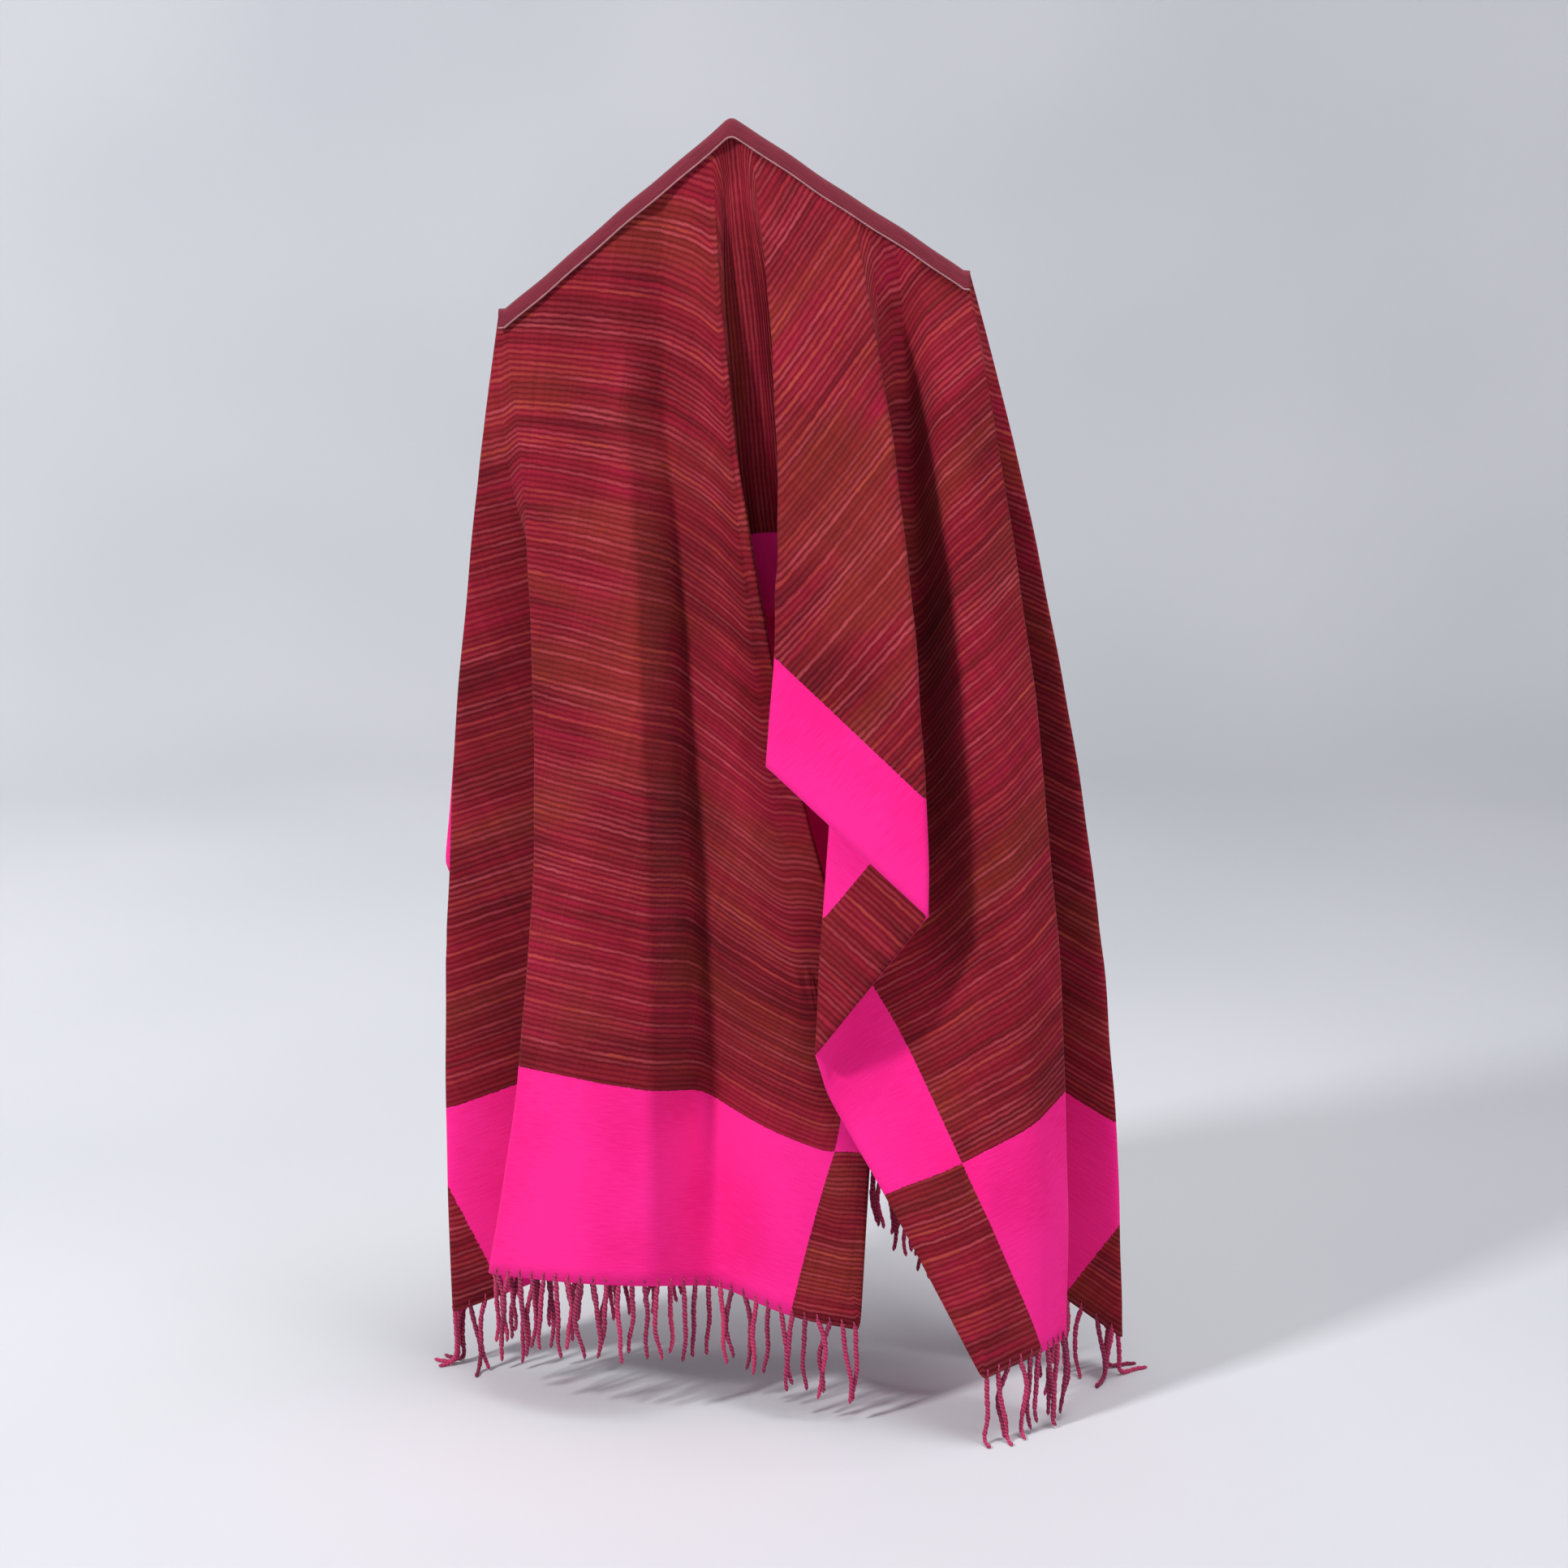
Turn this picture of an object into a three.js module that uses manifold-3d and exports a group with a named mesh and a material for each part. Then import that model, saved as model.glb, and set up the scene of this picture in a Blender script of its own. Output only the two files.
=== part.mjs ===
// A double woven shawl blanket with striped field and plain borders, hung like a cape.
// Millimetres, +Z up, front towards -Y. The origin is at the peak of the fold it hangs by.
// The cloth is one sheet. It is described by fall lines: each starts on the hanging fold,
// runs down one layer or crease, and ends at a known place on the cloth's edge.

import * as THREE from 'three';
import { mergeVertices } from 'three/addons/utils/BufferGeometryUtils.js';
import Module from 'manifold-3d';

// Cloth as woven: u runs along the warp from the left end, v across it.
const CLOTH = { length: 2000, width: 920, thickness: 2 };
const FLOOR_DROP = 1098; // from the peak down to the floor that the tassels reach
const FOLD_WIDTH = 9; // across the loop of a sharp fold
const RIDGE_HALF_WIDTH = 4.5; // half the rounding over the hanging fold
const RIDGE_SOFT = 0.06; // softness of every fall line where it leaves the hanging fold

const BAND = { overhang: 5 }; // past the shoulder at each end of the hanging fold
const BAND_STATIONS = [-1, -0.06, 0, 0.06, 1]; // places on the hanging fold
// Half the band's section, from its hem up to its middle, as y and rise over the hanging fold.
const BAND_OUTER = [[13.1, -12.5], [8.6, -0.6], [6, 3.8]];
const BAND_INNER = [[11.3, -12.7], [6.8, -1.2], [5, 1.8]];

const FRINGE = {
  pitch: 12.5, length: 68, radius: 2.4, tip: 1.8, strip: 3.2, gap: 1.1, sway: 5, inset: 5,
};
const STRAND_STATIONS = [0, 0.4, 0.75, 1]; // shares of a strand's length
const FLOOR_CURL = 9; // height over the floor at which a strand starts to turn out

const COLOURS = { field: 0x8a2430, band: 0x7c2433, fringe: 0xb03562 };

// The hanging fold: place is -1 at the left shoulder, 0 at the peak and 1 at the right shoulder.
const RIDGE = [
  { place: -1, x: -188, drop: 156, cloth: [800, 330] },
  { place: 0, x: 0, drop: 0, cloth: [960, 518] },
  { place: 0.5, x: 97, drop: 62, cloth: [1075, 493] },
  { place: 1, x: 193, drop: 124, cloth: [1190, 453] },
];

// Fall lines, in order round the sheet: from the peak rightwards in front, round the back
// and home along the left front.
// ridge: place on the hanging fold, side: -1 front or 1 back (the ends find their own),
// soft: 0 for a crisp bend to 1 for a round one, turn: 1 or -1 for a sharp fold whose next
// layer lies behind or in front, edge: cloth place of the foot, foot: x, y and drop there,
// bow: how far the middle stands off the straight line, opens: share of the length over
// which a tucked layer stays shut, corner: a cloth corner.
const FALLS = [
  { name: 'strip', ridge: 0.02, side: -1, soft: 0.5, edge: [974, 920], foot: [50, -8, 408] },
  { name: 'tuck_right', ridge: 0.05, side: -1, soft: 0.12, turn: -1, edge: [1140, 920],
    foot: [116, 12, 408], opens: 0.4 },
  { name: 'right_edge', ridge: 0.08, side: -1, soft: 0.1, turn: -1, edge: [1312, 920],
    foot: [30, -92, 521], bow: [16, -10, 0] },
  { name: 'cascade_a', ridge: 0.5, side: -1, soft: 0.1, turn: 1, edge: [1489, 920],
    foot: [163, -120, 642], bow: [14, -12, 0] },
  { name: 'cascade_b', ridge: 0.58, side: -1, soft: 0.1, turn: 1, edge: [1635, 920],
    foot: [70, -100, 765], opens: 0.45 },
  { name: 'cascade_c', ridge: 0.65, side: -1, soft: 0.5, edge: [1712, 920],
    foot: [82, -90, 806], bow: [26, 26, 0], opens: 0.25 },
  { name: 'right_valley', ridge: 0.7, side: -1, soft: 0.7, edge: [1835, 920],
    foot: [132, -108, 890], bow: [28, 42, 0] },
  { name: 'corner_right_front', ridge: 0.8, side: -1, soft: 0.5, corner: true,
    edge: [2000, 920], foot: [211, -140, 1036], bow: [14, -5, 0] },
  { name: 'right_border', ridge: 0.88, side: -1, soft: 0.6, edge: [2000, 850],
    foot: [265, -112, 1023], bow: [14, -24, 0] },
  { name: 'right_fold', ridge: 1, soft: 0.1, turn: 1, edge: [2000, 790],
    foot: [287, -82, 1020], bow: [24, -14, 0] },
  { name: 'right_tuck', ridge: 1, soft: 0.1, turn: 1, edge: [2000, 420],
    foot: [-8, 76, 776], bow: [0, 25, 0], opens: 0.5 },
  { name: 'right_layer', ridge: 1, soft: 0.6, edge: [2000, 210], foot: [150, 64, 932],
    bow: [0, 12, 0], opens: 0.5 },
  { name: 'right_outline', ridge: 1, soft: 0.2, turn: 1, edge: [2000, 22],
    foot: [345, -4, 1054], bow: [32, 0, 0] },
  { name: 'corner_right_back', ridge: 1, soft: 0.4, corner: true, edge: [2000, 0],
    foot: [334, 26, 1058], bow: [26, 6, 0] },
  { name: 'right_flute_1', ridge: 1, soft: 0.4, edge: [1800, 0], foot: [248, 84, 878],
    bow: [0, 12, 0], opens: 0.5 },
  { name: 'right_flute_2', ridge: 1, soft: 0.4, edge: [1650, 0], foot: [305, 112, 748],
    opens: 0.5 },
  { name: 'right_flute_3', ridge: 1, soft: 0.5, edge: [1480, 0], foot: [218, 130, 652],
    opens: 0.5 },
  { name: 'back_right', ridge: 1, soft: 0.7, edge: [1337, 0], foot: [196, 70, 600] },
  { name: 'back_right_2', ridge: 0.6, side: 1, soft: 0.9, edge: [1230, 0], foot: [120, 104, 566] },
  { name: 'back_right_3', ridge: 0.25, side: 1, soft: 0.9, edge: [1150, 0], foot: [50, 74, 552] },
  { name: 'back_middle', ridge: 0, side: 1, soft: 0.9, edge: [1090, 0], foot: [0, 104, 526] },
  { name: 'back_left_3', ridge: -0.3, side: 1, soft: 0.9, edge: [1010, 0], foot: [-60, 74, 514] },
  { name: 'back_left_2', ridge: -0.65, side: 1, soft: 0.9, edge: [930, 0],
    foot: [-118, 106, 496] },
  { name: 'back_left', ridge: -1, soft: 0.7, edge: [850, 0], foot: [-158, 70, 488] },
  { name: 'left_flute_3', ridge: -1, soft: 0.5, edge: [745, 0], foot: [-180, 158, 474],
    opens: 0.5 },
  { name: 'left_flute_2', ridge: -1, soft: 0.5, edge: [640, 0], foot: [-202, 68, 496],
    opens: 0.5 },
  { name: 'left_flute_1', ridge: -1, soft: 0.4, edge: [535, 0], foot: [-230, 148, 560],
    opens: 0.5 },
  { name: 'left_swing', ridge: -1, soft: 0.3, edge: [430, 0], foot: [-260, 66, 642],
    bow: [-4, 0, 0] },
  { name: 'left_flute_0', ridge: -1, soft: 0.3, turn: -1, edge: [270, 0],
    foot: [-128, 52, 785], opens: 0.5 },
  { name: 'corner_left_back', ridge: -1, soft: 0.4, corner: true, edge: [0, 0],
    foot: [-246, 42, 1050], bow: [-16, 4, 0] },
  { name: 'left_outline', ridge: -1, soft: 0.2, turn: -1, edge: [0, 30],
    foot: [-253, 22, 1040], bow: [-22, 0, 0] },
  { name: 'left_tuck', ridge: -1, soft: 0.1, turn: -1, edge: [0, 270], foot: [20, 16, 933],
    opens: 0.5 },
  { name: 'left_fold', ridge: -1, soft: 0.1, turn: -1, edge: [0, 540],
    foot: [-213, -38, 980], bow: [34, -18, 0] },
  { name: 'left_panel_1', ridge: -0.8, side: -1, soft: 0.8, edge: [0, 625],
    foot: [-141, -88, 971], bow: [20, -18, 0] },
  { name: 'left_panel_2', ridge: -0.55, side: -1, soft: 0.3, edge: [0, 705],
    foot: [-71, -94, 971], bow: [16, -24, 0] },
  { name: 'left_valley', ridge: -0.3, side: -1, soft: 0.5, edge: [0, 775],
    foot: [-12, -54, 986], bow: [-10, 18, 0] },
  { name: 'left_border', ridge: -0.19, side: -1, soft: 0.8, edge: [0, 850],
    foot: [50, -95, 999], bow: [-8, -12, 0] },
  { name: 'corner_left_front', ridge: -0.12, side: -1, soft: 0.6, corner: true,
    edge: [0, 920], foot: [109, -95, 1011], bow: [-16, -8, 0] },
  { name: 'left_edge', ridge: -0.08, side: -1, soft: 0.1, turn: 1, edge: [280, 920],
    foot: [122, -62, 767], bow: [-30, -8, 0] },
  { name: 'tuck_left_1', ridge: -0.06, side: -1, soft: 0.2, edge: [600, 920],
    foot: [4, -20, 540], opens: 0.4 },
  { name: 'tuck_left_2', ridge: -0.04, side: -1, soft: 0.2, turn: 1, edge: [780, 920],
    foot: [-84, 20, 428], opens: 0.4 },
  { name: 'strip_left', ridge: -0.02, side: -1, soft: 0.5, edge: [946, 920],
    foot: [28, -8, 408] },
];

// Shares of a fall line's length at which the sheet is built, closer where it leaves the fold.
const RINGS = [0, 0.012, 0.04, 0.09, 0.16, 0.24, 0.32, 0.41, 0.5, 0.59, 0.68, 0.77, 0.86, 0.93, 1];
const BEND_STEPS = 2; // spans across each bend
const SPAN_STEP = 95; // longest span left between bends
const TANGENT_REACH = 3.5; // a bend tighter than this is taken as one turn

const add = (a, b, k = 1) => a.map((value, i) => value + b[i] * k);
const mix = (a, b, k) => a.map((value, i) => value + (b[i] - value) * k);
const sub = (a, b) => a.map((value, i) => value - b[i]);
const cross = (a, b) => [
  a[1] * b[2] - a[2] * b[1],
  a[2] * b[0] - a[0] * b[2],
  a[0] * b[1] - a[1] * b[0],
];
const unit = (a) => {
  const length = Math.hypot(...a) || 1;
  return a.map((value) => value / length);
};
const ease = (k) => {
  const s = Math.min(1, Math.max(0, k));
  return s * s * (3 - 2 * s);
};

// A place on the hanging fold as [x, y, z, u, v].
function ridgePoint(place) {
  const k = Math.max(0, RIDGE.findIndex((row) => row.place > place) - 1);
  const i = place >= 1 ? RIDGE.length - 2 : k;
  const [a, b] = [RIDGE[i], RIDGE[i + 1]];
  const share = (place - a.place) / (b.place - a.place);
  return mix([a.x, 0, -a.drop, ...a.cloth], [b.x, 0, -b.drop, ...b.cloth], share);
}

// Where each fall line leaves the rounding of the hanging fold; those at a shoulder share
// a half circle round its end.
function startPoints() {
  return FALLS.map((fall) => {
    const start = ridgePoint(fall.ridge);
    if (Math.abs(fall.ridge) < 1) return add(start, [0, fall.side * RIDGE_HALF_WIDTH, 0, 0, 0]);
    const shared = FALLS.filter((other) => other.ridge === fall.ridge);
    const share = (shared.indexOf(fall) + 0.5) / shared.length;
    const angle = Math.PI * (share - 0.5) * fall.ridge;
    const out = [Math.cos(angle) * fall.ridge, Math.sin(angle), 0, 0, 0];
    return add(start, out, RIDGE_HALF_WIDTH);
  });
}

// The fall line's place at a share t of its length, as [x, y, z, u, v].
function fallPoint(fall, start, t) {
  const [x, y, drop] = fall.foot;
  const bow = fall.bow ?? [0, 0, 0];
  const straight = mix(start, [x, y, -drop, ...fall.edge], t);
  return add(straight, [bow[0], bow[1], -bow[2], 0, 0], 4 * t * (1 - t));
}

// The nearest fall line before or after, counted round the sheet, that is never shut.
function openNeighbour(index, step) {
  let k = index + step;
  while (FALLS[(k + FALLS.length) % FALLS.length].opens) k += step;
  return k;
}

// Control places round the sheet at one share of the length, a sharp fold giving two.
function controlRing(starts, t) {
  const count = FALLS.length;
  const raw = FALLS.map((fall, i) => fallPoint(fall, starts[i], t));
  const ring = [];
  FALLS.forEach((fall, i) => {
    let place = raw[i];
    let width = FOLD_WIDTH * ease(t / 0.5);
    if (fall.opens) {
      const [a, b] = [openNeighbour(i, -1), openNeighbour(i, 1)];
      const shut = mix(raw[(a + count) % count], raw[b % count], (i - a) / (b - a));
      const open = ease(t / fall.opens);
      place = [...mix(shut, place, open).slice(0, 3), ...place.slice(3)];
      width *= open;
    }
    const fade = fall.corner ? 1 - 0.8 * t ** 6 : 1;
    const soft = (RIDGE_SOFT + (fall.soft - RIDGE_SOFT) * ease(t / 0.15)) * fade;
    const half = [0, (fall.turn ?? 0) * width * 0.5, 0, 0, 0];
    if (!fall.turn) {
      ring.push({ place, before: soft, after: soft, corner: fall.corner });
    } else {
      ring.push({ place: add(place, half, -1), before: soft, after: 1 });
      ring.push({ place: add(place, half), before: 1, after: soft });
    }
  });
  return ring;
}

// One ring of the sheet: straight layers joined by round bends.
// Spans has, for each control place, how many steps its layer to the next one takes.
function sheetRing(ring, spans) {
  const places = [];
  ring.forEach((node, i) => {
    const last = ring[(i - 1 + ring.length) % ring.length];
    const next = ring[(i + 1) % ring.length];
    const from = mix(node.place, last.place, node.before / 2);
    const to = mix(node.place, next.place, node.after / 2);
    for (let step = node.before === 1 ? 1 : 0; step <= BEND_STEPS; step += 1) {
      const w = step / BEND_STEPS;
      const place = mix(mix(from, node.place, w), mix(node.place, to, w), w);
      const even = w < 0.5 ? mix(from, node.place, 2 * w) : mix(node.place, to, 2 * w - 1);
      places.push(node.corner ? [...place.slice(0, 3), ...even.slice(3)] : place);
    }
    const far = mix(next.place, node.place, next.before / 2);
    for (let step = 1; step < spans[i]; step += 1) places.push(mix(to, far, step / spans[i]));
  });
  return places;
}

// The whole sheet's middle surface: grid[ring][column] = [x, y, z, u, v].
function sheetGrid() {
  const starts = startPoints();
  const foot = controlRing(starts, 1);
  const spans = foot.map((node, i) => {
    const next = foot[(i + 1) % foot.length];
    const open = Math.max(0, 1 - node.after / 2 - next.before / 2);
    const length = Math.hypot(...sub(next.place, node.place).slice(0, 3)) * open;
    return Math.max(1, Math.ceil(length / SPAN_STEP));
  });
  return RINGS.map((t) => sheetRing(controlRing(starts, t), spans));
}

// The nearest place along a ring that is at least a tangent's reach from one of its places.
function reachAlong(ring, from, step) {
  let k = from + step;
  const at = (index) => ring[(index + ring.length) % ring.length];
  while (Math.hypot(...sub(at(k), ring[from]).slice(0, 3)) < TANGENT_REACH) k += step;
  return at(k);
}

// Unit normals of the sheet, out of the striped face.
function sheetNormals(grid) {
  return grid.map((ring, r) => ring.map((place, c) => {
    const above = grid[Math.max(0, r - 1)][c];
    const below = grid[Math.min(grid.length - 1, r + 1)][c];
    const round = sub(reachAlong(ring, c, 1), reachAlong(ring, c, -1)).slice(0, 3);
    const down = sub(below, above).slice(0, 3);
    const normal = unit(cross(down, round));
    return r === 0 ? unit(add(normal, [0, 0, 1])) : normal;
  }));
}

// Joins two chains of indices over the hanging fold, each with its x from left to right.
function zipTriangles(front, back, xOf, flip) {
  const faces = [];
  let [i, j] = [0, 0];
  const put = (a, b, c) => {
    if (flip) faces.push(a, c, b);
    else faces.push(a, b, c);
  };
  while (i < front.length - 1 || j < back.length - 1) {
    const frontNext = i < front.length - 1 ? xOf(front[i + 1]) : Infinity;
    const backNext = j < back.length - 1 ? xOf(back[j + 1]) : Infinity;
    if (frontNext <= backNext) {
      put(front[i], front[i + 1], back[j]);
      i += 1;
    } else {
      put(front[i], back[j + 1], back[j]);
      j += 1;
    }
  }
  return faces;
}

// The sheet as one closed body of even thickness.
function clothGeometry(grid, normals) {
  const count = grid[0].length;
  const rings = grid.length;
  const half = CLOTH.thickness / 2;
  const positions = [];
  for (const side of [1, -1]) {
    grid.forEach((ring, r) => ring.forEach((place, c) => {
      positions.push(...add(place.slice(0, 3), normals[r][c], side * half));
    }));
  }
  const at = (side, r, c) => (side * rings + r) * count + (c % count);
  const faces = [];
  for (let r = 0; r < rings - 1; r += 1) {
    for (let c = 0; c < count; c += 1) {
      const [a, b, d, e] = [at(0, r, c), at(0, r, c + 1), at(0, r + 1, c), at(0, r + 1, c + 1)];
      faces.push(a, d, e, a, e, b);
      const [f, g, h, k] = [at(1, r, c), at(1, r, c + 1), at(1, r + 1, c), at(1, r + 1, c + 1)];
      faces.push(f, k, h, f, g, k);
    }
  }
  for (let c = 0; c < count; c += 1) {
    const [a, b] = [at(0, rings - 1, c), at(0, rings - 1, c + 1)];
    const [d, e] = [at(1, rings - 1, c), at(1, rings - 1, c + 1)];
    faces.push(a, d, e, a, e, b);
  }
  const xs = grid[0].map((place) => place[0]);
  const leftEnd = xs.indexOf(Math.min(...xs));
  const rightEnd = xs.indexOf(Math.max(...xs));
  const run = (from, to) => {
    const list = [];
    for (let c = from; c % count !== to; c += 1) list.push(c % count);
    return [...list, to];
  };
  const front = run(leftEnd, rightEnd);
  const back = run(rightEnd, leftEnd).reverse();
  for (const side of [0, 1]) {
    const chain = (list) => list.map((c) => at(side, 0, c));
    const xOf = (index) => xs[index % count];
    faces.push(...zipTriangles(chain(front), chain(back), xOf, side === 1));
  }
  return closedGeometry(positions, faces);
}

function closedGeometry(positions, faces) {
  const geometry = new THREE.BufferGeometry();
  geometry.setAttribute('position', new THREE.Float32BufferAttribute(positions, 3));
  geometry.setIndex(faces);
  return mergeVertices(geometry, 1e-4);
}

const wasm = await Module();
wasm.setup();

function toManifold(geometry) {
  const merged = mergeVertices(geometry, 1e-4);
  return new wasm.Manifold(new wasm.Mesh({
    numProp: 3,
    vertProperties: new Float32Array(merged.attributes.position.array),
    triVerts: new Uint32Array(merged.index.array),
  }));
}

function toGeometry(manifold) {
  const mesh = manifold.getMesh();
  const geometry = new THREE.BufferGeometry();
  geometry.setAttribute('position', new THREE.Float32BufferAttribute([...mesh.vertProperties], 3));
  geometry.setIndex([...mesh.triVerts]);
  return geometry;
}

// A closed solid through rings of points, its two ends closed by a ladder of triangles.
function loft(rings) {
  const sides = rings[0].length;
  const faces = [];
  for (let r = 0; r < rings.length - 1; r += 1) {
    for (let k = 0; k < sides; k += 1) {
      const [a, b] = [r * sides + k, r * sides + ((k + 1) % sides)];
      faces.push(a, b, b + sides, a, b + sides, a + sides);
    }
  }
  const far = (rings.length - 1) * sides;
  for (let k = 0; k < (sides - 1) / 2; k += 1) {
    const [a, b, c, d] = [k, k + 1, sides - 2 - k, sides - 1 - k];
    if (b < d) faces.push(a, d, b, far + a, far + b, far + d);
    if (b < c) faces.push(b, d, c, far + b, far + c, far + d);
  }
  return closedGeometry(rings.flat(2), faces);
}

// The plain band that caps the hanging fold, its two flaps lying down the front and the back.
function bandGeometry() {
  const rings = BAND_STATIONS.map((place) => {
    const [x, , z] = ridgePoint(place);
    const out = Math.abs(place) === 1 ? BAND.overhang * Math.sign(place) : 0;
    const flap = (rows, side) => rows.map(([y, rise]) => [x + out, y * side, z + rise]);
    const outer = [...flap(BAND_OUTER, 1), ...flap(BAND_OUTER, -1).reverse()];
    const inner = [...flap(BAND_INNER, 1), ...flap(BAND_INNER, -1).reverse()];
    return [...outer, ...inner.reverse()];
  });
  return loft(rings);
}

// The hem at one end of the cloth: its columns, with the ways out of the face and down.
function hemOf(grid, normals, end) {
  const last = grid.length - 1;
  const count = grid[last].length;
  const isHem = (c) => Math.abs(grid[last][(c + count) % count][3] - end) < 0.5;
  let first = 0;
  while (!(isHem(first) && !isHem(first - 1))) first += 1;
  const hem = [];
  for (let k = 0; isHem(first + k); k += 1) {
    const c = (first + k) % count;
    const place = grid[last][c].slice(0, 3);
    const down = unit(sub(place, grid[last - 1][c].slice(0, 3)));
    const before = hem.at(-1);
    if (before && Math.hypot(...sub(place, before.place)) < 0.8) continue;
    hem.push({ place, down, out: normals[last][c], across: grid[last][c][4] });
  }
  return hem;
}

// A place on the hem, by its place across the cloth.
function hemAt(hem, across) {
  const rising = hem.at(-1).across > hem[0].across;
  const next = hem.findIndex((node) => (rising ? node.across >= across : node.across <= across));
  const [a, b] = [hem[Math.max(0, next - 1)], hem[Math.max(1, next)]];
  const share = (across - a.across) / (b.across - a.across);
  return {
    place: mix(a.place, b.place, share),
    out: unit(mix(a.out, b.out, share)),
    down: unit(mix(a.down, b.down, share)),
    along: unit(sub(b.place, a.place)),
  };
}

// One strand: hangs from the strip, and lies out over the floor where it reaches it.
function strandGeometry(root, index) {
  const wave = Math.sin(index * 2.4);
  const drift = Math.sin(index * 4.1 + 1);
  const length = FRINGE.length + 4 * wave;
  const start = add(root.place, root.down, FRINGE.gap + FRINGE.strip * 0.5);
  const outward = unit([root.out[0], root.out[1], 0]);
  const along = [-outward[1], outward[0], 0];
  const lying = -FLOOR_DROP + FRINGE.radius / 2;
  const rings = STRAND_STATIONS.map((share, k) => {
    const path = length * share;
    const hang = Math.max(0, start[2] - lying - FLOOR_CURL);
    const over = Math.max(0, path - hang);
    const curl = Math.min(1, over / (FLOOR_CURL * 1.5));
    const drop = Math.min(path, hang) + FLOOR_CURL * (1 - (1 - curl) ** 2);
    const reach = over > 0 ? over * curl * 0.8 : 0;
    const sway = FRINGE.sway * Math.sin(share * 3) * drift * 0.5;
    const lean = FRINGE.sway * share * wave * 0.4;
    const z = Math.max(lying, over > 0 ? start[2] - drop : start[2] - path);
    const flat = Math.min(1, over > 0 ? curl : 0);
    const place = [...add(add(start, outward, reach + lean), along, sway).slice(0, 2), z];
    const up = unit([outward[0] * (1 - flat), outward[1] * (1 - flat), flat]);
    const radius = k === 0 ? FRINGE.radius * 0.8 : mix([FRINGE.radius], [FRINGE.tip], share)[0];
    return [90, 210, 330].map((degrees) => {
      const angle = (degrees * Math.PI) / 180;
      return add(add(place, along, radius * Math.cos(angle)), up, radius * Math.sin(angle));
    });
  });
  return loft(rings);
}

// The fringe of one end: a narrow strip along the hem and the strands that hang from it.
function fringeGeometry(hem) {
  const strip = loft(hem.map(({ place, down, out }) => {
    const near = add(place, down, FRINGE.gap);
    const far = add(place, down, FRINGE.gap + FRINGE.strip);
    const half = CLOTH.thickness / 2;
    return [add(far, out, half), add(far, out, -half), add(near, out, -half), add(near, out, half)];
  }));
  const count = Math.floor((CLOTH.width - FRINGE.inset * 2) / FRINGE.pitch);
  const strands = Array.from({ length: count + 1 }, (_, k) => {
    const across = FRINGE.inset + ((CLOTH.width - FRINGE.inset * 2) * k) / count;
    return toManifold(strandGeometry(hemAt(hem, across), k));
  });
  return toGeometry(wasm.Manifold.union([toManifold(strip), ...strands]));
}

function addPart(name, geometry, color) {
  const material = new THREE.MeshStandardMaterial({ color, roughness: 0.95, metalness: 0 });
  const mesh = new THREE.Mesh(geometry, material);
  mesh.name = name;
  group.add(mesh);
}

const group = new THREE.Group();
const grid = sheetGrid();
const normals = sheetNormals(grid);
addPart('cloth', clothGeometry(grid, normals), COLOURS.field);
addPart('top_band', bandGeometry(), COLOURS.band);
addPart('fringe_left', fringeGeometry(hemOf(grid, normals, 0)), COLOURS.fringe);
addPart('fringe_right', fringeGeometry(hemOf(grid, normals, CLOTH.length)), COLOURS.fringe);

export default group;
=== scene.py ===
"""Dresses a striped double woven shawl blanket, hung by one fold like a cape.

Millimetres in the tables, metres in Blender. +Z up, front towards -Y, origin at the peak of the
fold that the blanket hangs by. The cloth is one sheet described by fall lines: each starts on the
hanging fold, runs down one layer or crease, and ends at a known place on the cloth's edge.
"""

import logging
import math
from dataclasses import dataclass, field
from enum import Enum

import bpy
import numpy as np
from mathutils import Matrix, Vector

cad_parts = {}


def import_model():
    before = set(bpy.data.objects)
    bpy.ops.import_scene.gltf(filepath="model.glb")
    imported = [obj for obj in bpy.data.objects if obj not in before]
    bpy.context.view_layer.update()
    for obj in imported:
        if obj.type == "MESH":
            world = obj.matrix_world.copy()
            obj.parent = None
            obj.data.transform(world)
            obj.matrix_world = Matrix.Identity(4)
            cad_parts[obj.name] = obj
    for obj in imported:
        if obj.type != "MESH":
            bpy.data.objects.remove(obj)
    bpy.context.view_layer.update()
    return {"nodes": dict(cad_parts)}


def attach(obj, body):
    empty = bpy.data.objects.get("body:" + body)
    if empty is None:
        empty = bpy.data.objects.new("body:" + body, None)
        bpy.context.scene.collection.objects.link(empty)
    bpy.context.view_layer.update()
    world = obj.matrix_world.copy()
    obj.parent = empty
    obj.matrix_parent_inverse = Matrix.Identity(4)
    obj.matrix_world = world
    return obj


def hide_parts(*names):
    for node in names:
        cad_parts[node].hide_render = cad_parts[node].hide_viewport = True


log = logging.getLogger("blanket")

Socket = bpy.types.NodeSocket
Feed = Socket | float | tuple[float, ...]
Colour = tuple[float, float, float]

MM = 0.001

LENGTH = 2000.0  # of the cloth along its warp
WIDTH = 920.0
SIDE_BORDER = 70.0
END_BORDER = 172.0
THICKNESS = 2.0
FLOOR_DROP = 1098.0
FOLD_WIDTH = 9.0
YARN_SIDES = 8
RIDGE_HALF_WIDTH = 4.5
RIDGE_RISE = 0.9
RIDGE_SOFT = 0.06
PEAK_ROUND = 5.0  # how far to each side of the peak the hanging fold bends over it
PEAK_SLOPE = 0.37  # how fast the hanging fold bends there
FOLD_OPENS = 0.5  # share of a fall line at which a sharp fold has its full width
SOFT_OPENS = 0.15  # share of a fall line at which a bend has its full softness
CORNER_FADE = 6  # how late a bend at a corner of the cloth grows crisp
HEM_EVENS = 60  # how late the pattern keeps even steps round a corner

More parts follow.
